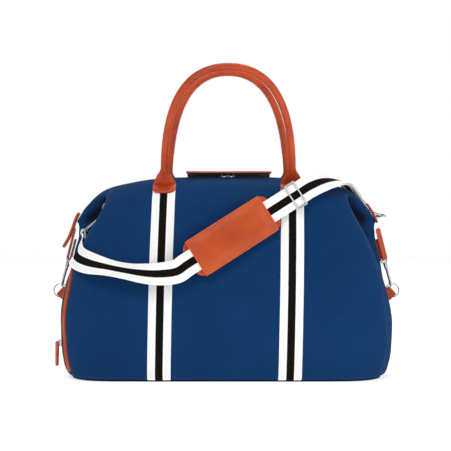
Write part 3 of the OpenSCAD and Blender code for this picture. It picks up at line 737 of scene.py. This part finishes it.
def make_panel(name, u0, u1, node_name):
    us = np.linspace(u0, u1, int((u1 - u0) * COLUMN_STEPS) + 1)
    u, r = np.meshgrid(us, np.linspace(0, TOP_ROW, TOP_ROW * ROW_STEPS + 1), indexing="xy")
    outer = raised(u, r)
    inner = wall_at(u, r) - WALL * wall_normal(u, r)
    panel = slab_object(name, outer, inner, CANVAS)
    # Painted shade for the valleys, stored on the points for the canvas material.
    shade = np.concatenate([valley_painted_shade(u, r).ravel()] * 2).astype(np.float32)
    panel.data.attributes.new("painted_shade_mask", "FLOAT", "POINT").data.foreach_set("value", shade)
    settle(panel, "root", "canvas", node_name)


def valley_painted_shade(u, r):
    """Strength of the painted shade inside the folded-in valleys, from 0 on the rims to 1 at the bottom.
    """
    column = np.abs((np.asarray(u) + 5) % 10 - 5)
    across = np.clip(1 - np.abs((column - 4.05) / 0.78), 0, 1)
    up = np.clip((r - 5.2) / 1.8, 0, 1) * np.clip((10.9 - r) / 1.2, 0, 1)
    shade = np.clip(across * 2.3, 0, 1) * up
    return 0.95 * shade * shade * (3 - 2 * shade)


def make_shell():
    make_panel("canvas_front", -SEAM, SEAM, "front_panel")
    make_panel("canvas_back", 10 - SEAM, 10 + SEAM, "back_panel")
    make_panel("canvas_right_end", SEAM, 10 - SEAM, "right_end_panel")
    make_panel("canvas_left_end", SEAM - 10, -SEAM, "left_end_panel")
    for u in (-SEAM - 10, -SEAM, SEAM, 10 - SEAM):
        for side in (-0.035, 0.035):
            rs = np.linspace(0.4, TOP_ROW - 0.3, 160)
            line, out = raised(u + side, rs, STITCH_LIFT), wall_normal(u + side, rs)
            name = f"seam_stitching_{u + 20:.0f}_{'left' if side < 0 else 'right'}"
            stitches(name, line, out, CANVAS_STITCH, "root", "canvas")
    for behind, start in (("front", -4.6), ("back", 5.4)):
        at = np.linspace(start, start + 9.2, 400)
        row = TOP_ROW - 0.17
        line, out = raised(at, row, STITCH_LIFT), wall_normal(at, row)
        stitches(f"zip_stitching_{behind}", line, out, CANVAS_STITCH, "root", "canvas")


def make_base():
    us = np.linspace(0, RING_COLUMNS, 161)[:-1]
    ring = wall_at(us, np.zeros(160))[:, :2]
    points, faces = [(0, 0, 0.0027)], []
    scales = (0.25, 0.5, 0.75, 0.95, 0.99, 1.0, 1.0, 0.99, 0.95, 0.5)
    heights = (2.7, 2.7, 2.7, 2.7, 2.6, 2.2, 0.5, 0.1, 0, 0)
    for scale, height in zip(scales, heights):
        points += [(x * scale, y * scale, height * MM) for x, y in ring]
    points.append((0, 0, 0))
    last = len(points) - 1
    for k in range(160):
        m = (k + 1) % 160
        faces.append((0, 1 + k, 1 + m))
        for q in range(len(scales) - 1):
            faces.append((1 + q * 160 + k, 1 + (q + 1) * 160 + k, 1 + (q + 1) * 160 + m, 1 + q * 160 + m))
        end = 1 + (len(scales) - 1) * 160
        faces.append((last, end + m, end + k))
    settle(make_object("canvas_base", points, faces, BASE_CANVAS), "root", "base_canvas", "bottom_panel")


# ---- striped bands ----

BANDS = {
    "front_left_band": (-1, -110, -104),
    "front_right_band": (-1, 103, 110),
    "back_left_band": (1, -110, -104),
    "back_right_band": (1, 103, 110),
}
LEFT_TOP, RIGHT_TOP = -104 * MM, 110 * MM


def upright(side, x_low, x_top, acrosses, rs, lift):
    """Grid on the front (side -1) or the back (1): acrosses in metres from a line that runs from
    x_low to x_top, at rows rs. lift is the height over the cloth, or a function of the across."""
    table = np.linspace(-1.9, 1.9, 260)
    grid = np.zeros((len(rs), len(acrosses), 3))
    for n, r in enumerate(rs):
        height = wall_at(0.0, r)[2]
        middle = x_low + (x_top - x_low) * height / 0.33
        u = np.interp(middle + acrosses, wall_at(table, r)[:, 0], table)
        grid[n] = raised(u, r, lift(acrosses) if callable(lift) else lift)
    grid[..., 1] *= -side
    return grid


def make_band(name, side, x_low, x_top):
    half = WEBBING_W / 2
    acrosses = np.concatenate([[-1, -0.985, -0.95], np.linspace(-0.8, 0.8, 9), [0.95, 0.985, 1]]) * half
    rs = np.linspace(0.3, 8.8, 110)

    def top(a):
        edge = np.clip((half - np.abs(a)) / (0.7 * MM), 0, 1)
        return 0.2 * MM + 1.1 * MM * np.sqrt(np.clip(edge * (2 - edge), 0.05, 1))

    outer = upright(side, x_low * MM, x_top * MM, acrosses, rs, top)
    inner = upright(side, x_low * MM, x_top * MM, acrosses, rs, 0.0)
    run = distances(outer[:, 7])
    uvs = np.stack(np.broadcast_arrays(run[:, None], acrosses[None, :]), axis=-1)
    settle(slab_object("striped_" + name, outer, inner, WEBBING, uvs), "root", "webbing", name)
    for edge in (-1, 1):
        at = np.array([edge * (half - 2.2 * MM)])
        line = upright(side, x_low * MM, x_top * MM, at, rs, 1.25 * MM)[:, 0]
        label = f"{name}_stitching_{'left' if edge < 0 else 'right'}"
        stitches(label, line, (0, side, 0.15), BAND_STITCH, "root", "webbing")


# ---- handles ----

HANDLE_X = 3 * MM
HANDLE_Y = 60 * MM
HANDLE_Z = 330 * MM
HANDLE_R = 6 * MM
SPAN = 215 * MM
RISE = 210 * MM
NECK_START = 2 * MM
NECK_H = 22 * MM


def arch_side(t):
    a = np.array([0, RISE - 6 * MM])
    b = np.array([SPAN * 0.318, RISE - 6 * MM])
    c = np.array([SPAN * 0.49, RISE * 0.67])
    d = np.array([SPAN / 2, 4 * MM])
    return (1 - t) ** 3 * a + 3 * (1 - t) ** 2 * t * b + 3 * (1 - t) * t * t * c + t**3 * d


def place_on_handle(side, lean, x, z):
    """A point of a handle's own plane, x across and z up its leg, tilted by lean about its foot."""
    s, c = math.sin(lean), math.cos(lean)
    return np.array([HANDLE_X + x, side * HANDLE_Y - z * s, HANDLE_Z + z * c])


PATCH_ROWS = np.linspace(8.36, 9.22, 12)
PATCH_W = 39 * MM


def patch_width(k):
    """Width of the patch at its k-th row: rounded at the bottom."""
    rise = (PATCH_ROWS[k] - PATCH_ROWS[0]) / 0.38
    return PATCH_W * (0.5 + 0.5 * math.sqrt(max(0.0, 1 - (1 - min(rise, 1)) ** 2)))


def make_handle(body, side, lean_degrees):
    lean = math.radians(lean_degrees)
    left_leg, right_leg = [
        [upright(side, x, x, np.zeros(1), [r], 2.3 * MM)[0, 0] for r in PATCH_ROWS]
        for x in (LEFT_TOP, RIGHT_TOP)
    ]
    patch = [oval_section(patch_width(k), 1.9 * MM, 5.0) for k in range(len(PATCH_ROWS))]
    ts = [t for t in np.linspace(1, 0, 60) if arch_side(t)[1] > 7 * MM]
    quarter = [arch_side(t) for t in ts]
    arch = [(-p[0], p[1]) for p in quarter] + [(p[0], p[1]) for p in reversed(quarter)][1:]

    def neck_section(height):
        """The flat patch gathers into the round handle over the neck."""
        t = min(1.0, max(0.0, (height - NECK_START) / NECK_H))
        t = t * t * (3 - 2 * t)
        width = 37 * MM + (2 * HANDLE_R - 37 * MM) * t**0.7
        thick = 3.2 * MM + (2 * HANDLE_R - 3.2 * MM) * t
        return oval_section(width, thick, 4.0 - 2.0 * t)

    on_arch = [place_on_handle(side, lean, x, z) for x, z in arch]
    path = np.array(left_leg + on_arch + right_leg[::-1])
    sections = patch + [neck_section(z) for _, z in arch] + patch[::-1]
    face = np.array([0, math.cos(lean), math.sin(lean)])
    ahead = unit(np.gradient(path, axis=0))
    across = unit(np.cross(np.broadcast_to(face, path.shape), ahead))
    handle = sweep(f"leather_{body}", path, across, sections, LEATHER)
    face_name = body.split("_")[0]
    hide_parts(body, face_name + "_left_patch", face_name + "_right_patch")
    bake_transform(handle)

    narrower = 1 - HANDLE_R / SPAN * 2
    high = [(x, z) for x, z in arch if z > 60 * MM]
    inner = np.array([place_on_handle(side, lean, x * narrower, z - HANDLE_R) for x, z in high])
    middle = place_on_handle(side, lean, 0, RISE * 0.3)
    stitches(f"{body}_seam", inner, unit(middle - inner), HANDLE_STITCH, body)
    make_patch_stitching(body, side)


def make_patch_stitching(body, side):
    for label, x in (("left", LEFT_TOP), ("right", RIGHT_TOP)):
        outline = []
        inset = 3.2 * MM
        for sign, order in ((-1, reversed(range(len(PATCH_ROWS)))), (1, range(len(PATCH_ROWS)))):
            for k in order:
                if patch_width(k) / 2 - inset < 6 * MM:
                    continue
                at = np.array([sign * (patch_width(k) / 2 - inset)])
                row = PATCH_ROWS[k] + (0.09 if k < 3 else 0.0)
                outline.append(upright(side, x, x, at, [row], 3.3 * MM)[0, 0])
        name = f"{body}_{label}_patch_stitching"
        stitches(name, outline, (0, side, 0.45), TAB_STITCH, "root")


# ---- flap ----

FLAP_PATH = np.array(
    [[4, 50, 337.5], [4, 38, 342.5], [4, 22, 346.5], [4, 0, 348.3], [4, -22, 346.9], [4, -44, 343.6]]
) * MM
FLAP_W = 148 * MM
FLAP_L = 96 * MM


def flap_lip(s):
    """How far the flap's free edge curls up."""
    return 0.9 * MM * np.clip((s - 4.2) / 0.8, 0, 1) ** 2


def flap_points(a, s, lift):
    """Points of the flap: a across in metres, s along from its hem at the back, from 0 to 5."""
    path = along(FLAP_PATH, s.ravel()).reshape(*s.shape, 3)
    ahead = unit(along(FLAP_PATH, np.minimum(s.ravel() + 0.05, 5)) - along(FLAP_PATH, s.ravel() - 0.05))
    up = np.cross(ahead, np.array([1.0, 0, 0])).reshape(*s.shape, 3)
    up = np.where(up[..., 2:3] < 0, -up, up)
    point = path + lift[..., None] * up
    point[..., 0] += a
    return point


def make_flap_layer(name, node_name, low, high, width, front, material, slot_name):
    """A layer of the flap from low to high, in mm over its path, with rounded front corners."""
    i, j = np.meshgrid(np.linspace(-1, 1, 75), np.linspace(0, front, 50), indexing="xy")
    length = front / 5 * FLAP_L
    a, depth = rounded_corners(i * width / 2, j / 5 * FLAP_L, width / 2, length, 11 * MM)
    s = depth / FLAP_L * 5
    edge = np.clip(np.minimum(width / 2 - np.abs(a), length - depth) / (1.2 * MM), 0, 1)
    crown = np.sqrt(np.clip(edge * (2 - edge), 0, 1))
    lift = surface_noise(a, depth, 22, 4.2, 0.7 * MM) + flap_lip(s) + (low + high) / 2 * MM
    half = (high - low) / 2 * MM * (0.35 + 0.65 * crown)
    outer = flap_points(a, s, lift + half)
    inner = flap_points(a, s, lift - half)
    return settle(slab_object(name, outer, inner, material), "top_flap", slot_name, node_name)


def make_flap():
    make_flap_layer("flap_top", "flap_leather", 0.1, 1.8, FLAP_W, 5.0, LEATHER, "leather")
    make_flap_layer("flap_under", "flap_lining", -0.95, -0.1, FLAP_W - 2 * MM, 4.95, TAPE, "lining")
    inset = FLAP_W / 2 - 4 * MM
    turn = np.radians(np.linspace(0, 90, 10))
    half_a = np.concatenate([np.full(40, -inset), -inset + 8 * MM * (1 - np.cos(turn))])
    half_s = np.concatenate([np.linspace(0.2, 4.4, 40), 4.4 + 0.4 * np.sin(turn)])
    a = np.concatenate([half_a, np.linspace(-60, 60, 50) * MM, -half_a[::-1]])
    s = np.concatenate([half_s, np.full(50, 4.8), half_s[::-1]])
    line = flap_points(a, s, 1.9 * MM + flap_lip(s))
    stitches("flap_stitching", line, (0, 0, 1), LEATHER_STITCH, "top_flap")
    for k, row in enumerate((0.22, 0.6)):
        a = np.linspace(-inset, inset, 60)
        line = flap_points(a, np.full(60, row), np.full(60, 1.9 * MM))
        stitches(f"flap_hem_stitching_{k}", line, (0, 0.4, 1), LEATHER_STITCH, "top_flap")


# ---- zips ----


def zip_down(us):
    """Directions into the bag, square to the zip line."""
    d = wall_at(us + 0.05, TOP_ROW) - wall_at(us - 0.05, TOP_ROW)
    return unit(np.stack([d[:, 2], np.zeros(len(us)), -d[:, 0]], axis=1))


FLATTEN_Y = np.array([1, 0, 1])
TOOTH_PITCH = 1.35 * MM


def make_top_zip():
    us = np.linspace(-4.7, 4.7, 190)
    edge = wall_at(us, TOP_ROW)
    down = zip_down(us)
    half = np.abs(edge[:, 1]) - GAP
    across = np.linspace(-1, 1, 15)
    dip = 0.25 * MM + 0.5 * MM * (1 - np.abs(across)) + 0.25 * MM * np.cos(across * 9)
    grid = edge[:, None, :] * FLATTEN_Y + np.zeros((1, 15, 1))
    grid[..., 1] = half[:, None] * across
    outer = grid + dip[None, :, None] * down[:, None, :]
    inner = outer + 0.8 * MM * down[:, None, :]
    settle(slab_object("top_tape", outer, inner, TAPE), "root", "zip_tape", "top_zip_tape")

    us = np.linspace(-4.3, 4.3, 3000)
    make_teeth("top_teeth", wall_at(us, TOP_ROW) * FLATTEN_Y, -zip_down(us), 0, "top_zip_teeth")


def make_teeth(name, line, out, first, *nodes):
    """Moulded teeth along a line, those of the two tapes in turn."""
    length = distances(line)
    points, faces = [], []
    for k in range(first, int(length[-1] / TOOTH_PITCH)):
        s = k * TOOTH_PITCH
        centre = point_at(s, length, line)
        up = unit(point_at(s, length, out))
        ahead = unit(point_at(s + 0.5 * MM, length, line) - centre)
        side = np.cross(up, ahead) * (1 if k % 2 else -1)
        add_tooth(points, faces, centre, ahead, side, up)
    settle(make_object(name, points, faces, TEETH, None, 20), "root", "steel", *nodes)


def add_tooth(points, faces, centre, ahead, outward, up):
    """One moulded tooth: a foot on its own tape and a narrower head over the middle line."""
    base = len(points)
    outline = ((2.4, 0.55), (0.9, 0.5), (-0.3, 0.72), (-0.7, 0.45))
    for lift in (0.1, 1.3):
        for out, half in outline:
            points.append(centre + (out * outward + half * ahead + lift * up) * MM)
        for out, half in reversed(outline):
            points.append(centre + (out * outward - half * ahead + lift * up) * MM)
    faces.append(tuple(base + k for k in range(8)))
    faces.append(tuple(base + 8 + k for k in reversed(range(8))))
    for k in range(8):
        m = (k + 1) % 8
        faces.append((base + k, base + 8 + k, base + 8 + m, base + m))


ARCH_FOOT, ARCH_TURN, ARCH_U = 1.15, 4.0, -5


def arch_at(w, crown, t):
    """Column and row of an arch on the left end, with half-width w in columns."""
    if t < 0.3:
        return ARCH_U + w, ARCH_FOOT + (ARCH_TURN - ARCH_FOOT) * t / 0.3
    if t > 0.7:
        return ARCH_U - w, ARCH_TURN + (ARCH_FOOT - ARCH_TURN) * (t - 0.7) / 0.3
    a = math.pi * (t - 0.3) / 0.4
    return ARCH_U + w * math.cos(a), ARCH_TURN + (crown - ARCH_TURN) * math.sin(a)


def arch_strip(name, node_name, outer_edge, inner_edge, thick, material, slot_name, stitched):
    """A strip between two arches, each given as its half-width and the row of its crown."""
    across = np.array([0, 0.02, 0.08, 0.3, 0.5, 0.7, 0.92, 0.98, 1])
    profile = np.sqrt(np.clip(1 - np.abs(2 * across - 1) ** 9, 0.05, 1))
    ts = np.linspace(0, 1, 160)
    columns, rows = np.zeros((160, 9)), np.zeros((160, 9))
    for n, t in enumerate(ts):
        for m, c in enumerate(across):
            w = outer_edge[0] + (inner_edge[0] - outer_edge[0]) * c
            crown = outer_edge[1] + (inner_edge[1] - outer_edge[1]) * c
            columns[n, m], rows[n, m] = arch_at(w, crown, t)
    outer = raised(columns, rows, GAP + thick * profile[None, :])
    inner = raised(columns, rows, 0.0 * columns)
    settle(slab_object(name, outer, inner, material), "root", slot_name, node_name)
    if stitched:
        line = raised(columns[:, 6], rows[:, 6], GAP + thick)
        out = wall_normal(columns[:, 6], rows[:, 6])
        stitches(name + "_stitching", line, out, LEATHER_STITCH, "root")


def make_side_zip():
    shape = (2.3, 5.45), (2.14, 5.2), 2.5 * MM
    arch_strip("shoe_zip_binding", "side_zip_binding", *shape, LEATHER, "leather", True)
    shape = (2.125, 5.18), (1.88, 4.85), 1.4 * MM
    arch_strip("shoe_zip_tape", "side_zip_tape", *shape, TAPE, "zip_tape", False)
    us, rs = np.array([arch_at(2.0, 5.01, t) for t in np.linspace(0.02, 0.98, 900)]).T
    line, out = raised(us, rs, 1.65 * MM), wall_normal(us, rs)
    make_teeth("shoe_zip_teeth", line, out, 1)


# ---- leather and webbing tabs ----

LEATHER_T = 1.8 * MM
BAR_R = 1.5 * MM
RING_WIRE_R = 1.1 * MM
# Room between a bar or ring and the leather round it.
FOLD_GAP = 0.4 * MM
HOOK_BAR = np.array([276, 0, 197]) * MM


def mirrored(points, side):
    points = np.array(points, float)
    points[:, 0] *= side
    return points


def folded(bar, line, square, off, out_l, back_l):
    """Path from a far end, round a bar and back."""
    found = [bar - s * line + off * square for s in np.linspace(out_l, 0, 20)]
    for a in np.radians(np.arange(15, 180, 15)):
        found.append(bar + off * (math.cos(a) * square + math.sin(a) * line))
    found += [bar - s * line - off * square for s in np.linspace(0, back_l, 15)]
    return found


# Each leather end of the top zip: its middle line in mm, width, thickness, and how far the
# stitching lies over and beside that line.
ZIP_ENDS = {
    "left": (
        [[-258.5, 0, 277], [-264, 0, 266], [-269.5, 0, 250], [-277, 0, 232], [-286, 0, 217]],
        16 * MM, 4.5 * MM, 2.3 * MM, 5.4 * MM,
    ),
    "right": (
        [[246, 0, 293.5], [254.5, 0, 281], [261, 0, 268], [264.6, 0, 260]],
        14 * MM, 3 * MM, 1.55 * MM, 4.6 * MM,
    ),
}


def make_zip_end(label, controls, width, thick, lift, half):
    spans = len(controls) - 1
    path = along(np.array(controls) * MM, np.linspace(0, spans, spans * 7 + 1))
    across = (0, 1, 0) + 0 * path
    piece = sweep(f"{label}_zip_tail", path, across, tapered_sections(len(path), width, thick, 3), LEATHER)
    settle(piece, "root", "leather", f"{label}_zip_end")
    side, up = frames_along(path, across)
    outward = 1 if label == "right" else -1
    sign = 1 if up[5, 0] * outward > 0 else -1
    for edge in (-1, 1):
        line = path + sign * lift * up + edge * half * side
        name = f"{label}_zip_tail_stitching_{'front' if edge < 0 else 'back'}"
        stitches(name, line[2:-2], sign * up[2:-2], TAIL_STITCH, "root")


EAR_TURN = {-1: 0, 1: math.radians(32)}


def make_ear_tab(side):
    label = "right" if side > 0 else "left"
    line = unit([13, 0, -52])
    outward = np.array([-line[2], 0, line[0]])
    turn, back = EAR_TURN[side], np.array([0, 1.0, 0])
    square = math.cos(turn) * outward - math.sin(turn) * back
    wide = mirrored([math.cos(turn) * back + math.sin(turn) * outward], side)[0]
    path = folded(HOOK_BAR, line, square, BAR_R + FOLD_GAP + LEATHER_T / 2, 54 * MM, 36 * MM)
    path = mirrored(path, side)
    wide = np.broadcast_to(wide, path.shape)
    sections = tapered_sections(len(path), 20 * MM, LEATHER_T, 2)
    piece = sweep(f"{label}_ear_leather", path, wide, sections, LEATHER)
    settle(piece, "root", "leather", f"{label}_ear_tab")
    out = mirrored([square], side)[0]
    for edge in (-1, 1):
        run = path[1:19] + 0.95 * MM * out + edge * 7.2 * MM * wide[0]
        name = f"{label}_ear_stitching_{'front' if edge < 0 else 'back'}"
        stitches(name, run, out, TAB_STITCH, "root")


SIDE_TAB_L = 13.5 * MM


def make_side_tab(side):
    label = "right" if side > 0 else "left"
    fold = np.array([289.8, 0, 139.8]) * MM
    out = unit([0.73, 0, 0.68])
    inside = RING_WIRE_R + FOLD_GAP + LEATHER_T / 2
    path = [fold - s * out + np.array([0, -inside, 0]) for s in np.linspace(SIDE_TAB_L, 0, 8)]
    for a in np.radians(np.arange(15, 180, 15)):
        path.append(fold + inside * (np.array([0, -math.cos(a), 0]) + math.sin(a) * out))
    path += [fold - s * out + np.array([0, inside, 0]) for s in np.linspace(0, SIDE_TAB_L, 8)]
    path = mirrored(path, side)
    wide = np.broadcast_to((-out[2] * side, 0, out[0]), path.shape)
    piece = sweep(f"{label}_ring_leather", path, wide, oval_section(19 * MM, LEATHER_T, 5.0), LEATHER)
    settle(piece, "root", "leather", f"{label}_side_tab")
    across = unit(wide[0])
    centre = path[4] + np.array([0, -0.95 * MM, 0])
    run = [centre + a * MM * across for a in np.linspace(-7, 7, 10)]
    stitches(f"{label}_ring_stitching", run, (0, -1, 0), RING_TAB_STITCH, "root")


LEFT_EYE = np.array([-241.2, -47, 245]) * MM
RIGHT_EYE = np.array([282, 42, 272]) * MM
LEFT_LINE = unit([0.74, 0, 0.67])
RIGHT_LINE = unit([-0.985, 0, -0.17])
D_WIRE = 1.5 * MM
D_R = 11.5 * MM
# From the strap's eye to the middle of the D-ring's bow, which hangs in the hook.
D_REACH = 45.9 * MM


def make_chape(name, at, line, length):
    """Webbing folded round the straight bar of a D-ring."""
    w = -line
    v = unit(np.array([0, 1.0, 0]) - w[1] * w)
    u = np.cross(v, w)
    bar = at - (D_REACH + D_R) * w
    path = folded(bar, w, v, D_WIRE + GAP + WEBBING_T / 2, length, length)
    section = rounded_section(19 * MM, WEBBING_T, 7)
    piece = sweep(name + "_webbing", path, np.broadcast_to(u, (len(path), 3)), section, WEBBING)
    settle(piece, "root", "webbing", name)


SIDE_SLIDER = np.array([-273.7, -89.2, 62]) * MM
# Direction that the side zip faces, from the left towards the front.
SIDE_ZIP_TURN = math.radians(33)
LUG_H = 6.2 * MM
PULL_L = 38 * MM
# Half the distance between the puller's two layers.
PULL_FOLD = 1.75 * MM


def make_side_pull():
    """Leather puller folded round the shoe zip slider's bar."""
    out = np.array([-math.cos(SIDE_ZIP_TURN), -math.sin(SIDE_ZIP_TURN), 0])
    wide = np.array([-math.sin(SIDE_ZIP_TURN), math.cos(SIDE_ZIP_TURN), 0])
    down = np.array([0, 0, -1.0])
    bar = SIDE_SLIDER + LUG_H * out
    run = np.linspace(0, PULL_L, 14)
    path = [bar + s * down + PULL_FOLD * out for s in run[::-1]]
    for a in np.radians(range(20, 180, 20)):
        path.append(bar + PULL_FOLD * (math.cos(a) * out - math.sin(a) * down))
    path += [bar + s * down - (PULL_FOLD - 0.03 * s) * out for s in run]
    path = np.array(path)
    sections = tapered_sections(len(path), 8 * MM, 1.5 * MM, 3, 4.0)
    piece = sweep("shoe_zip_puller", path, wide + 0 * path, sections, LEATHER)
    settle(piece, "side_pull", "leather", "side_pull")


# ---- floor and finish of CAD parts ----


def make_floor():
    mesh = bpy.data.meshes.new("floor")
    mesh.from_pydata([(-6, -6, 0), (6, -6, 0), (6, 6, 0), (-6, 6, 0)], [], [(0, 1, 2, 3)])
    material, tree, shader = new_material("pale_floor")
    pale, white = (0.92, 0.92, 0.92, 1), (1, 1, 1, 1)
    set_shader(shader, Base_Color=pale, Roughness=0.9, Specular_IOR_Level=0.0)
    set_shader(shader, Emission_Color=white, Emission_Strength=0.55)
    mesh.materials.append(material)
    floor = bpy.data.objects.new("floor", mesh)
    bpy.context.scene.collection.objects.link(floor)
    floor.location.z = CAD_BOX[0][2] - 0.0002


def finish_cad_nodes():
    """The turned, bent and pressed metal parts keep their CAD shape and get a real finish."""
    plated = [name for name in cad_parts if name.endswith(("_ring", "_hook", "_gate", "_eye"))]
    plated += ["left_slider", "right_slider", "left_pull", "right_pull", "side_slider", "strap_adjuster"]
    finishes = {name: CHROME for name in plated}
    finishes["lining"] = LINING
    finishes["base_board"] = BOARD
    for name, material in finishes.items():
        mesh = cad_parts[name].data
        mesh.materials.clear()
        mesh.materials.append(material)


make_camera()
STRAP, STRAP_LAYER, STRAP_PATH = make_strap()
PADS = make_pad()
declare_strap(STRAP, STRAP_LAYER, STRAP_PATH)
make_shell()
make_base()
for band_name, band_line in BANDS.items():
    make_band(band_name, *band_line)
make_handle("front_handle", -1, 32)
make_handle("back_handle", 1, 0)
make_flap()
make_top_zip()
make_side_zip()
for end_label, end_shape in ZIP_ENDS.items():
    make_zip_end(end_label, *end_shape)
for tab_side in (-1, 1):
    make_ear_tab(tab_side)
    make_side_tab(tab_side)
make_chape("left_chape", LEFT_EYE, LEFT_LINE, 7 * MM)
make_chape("right_chape", RIGHT_EYE, RIGHT_LINE, 16 * MM)
make_side_pull()
finish_cad_nodes()
make_floor()
make_lights()
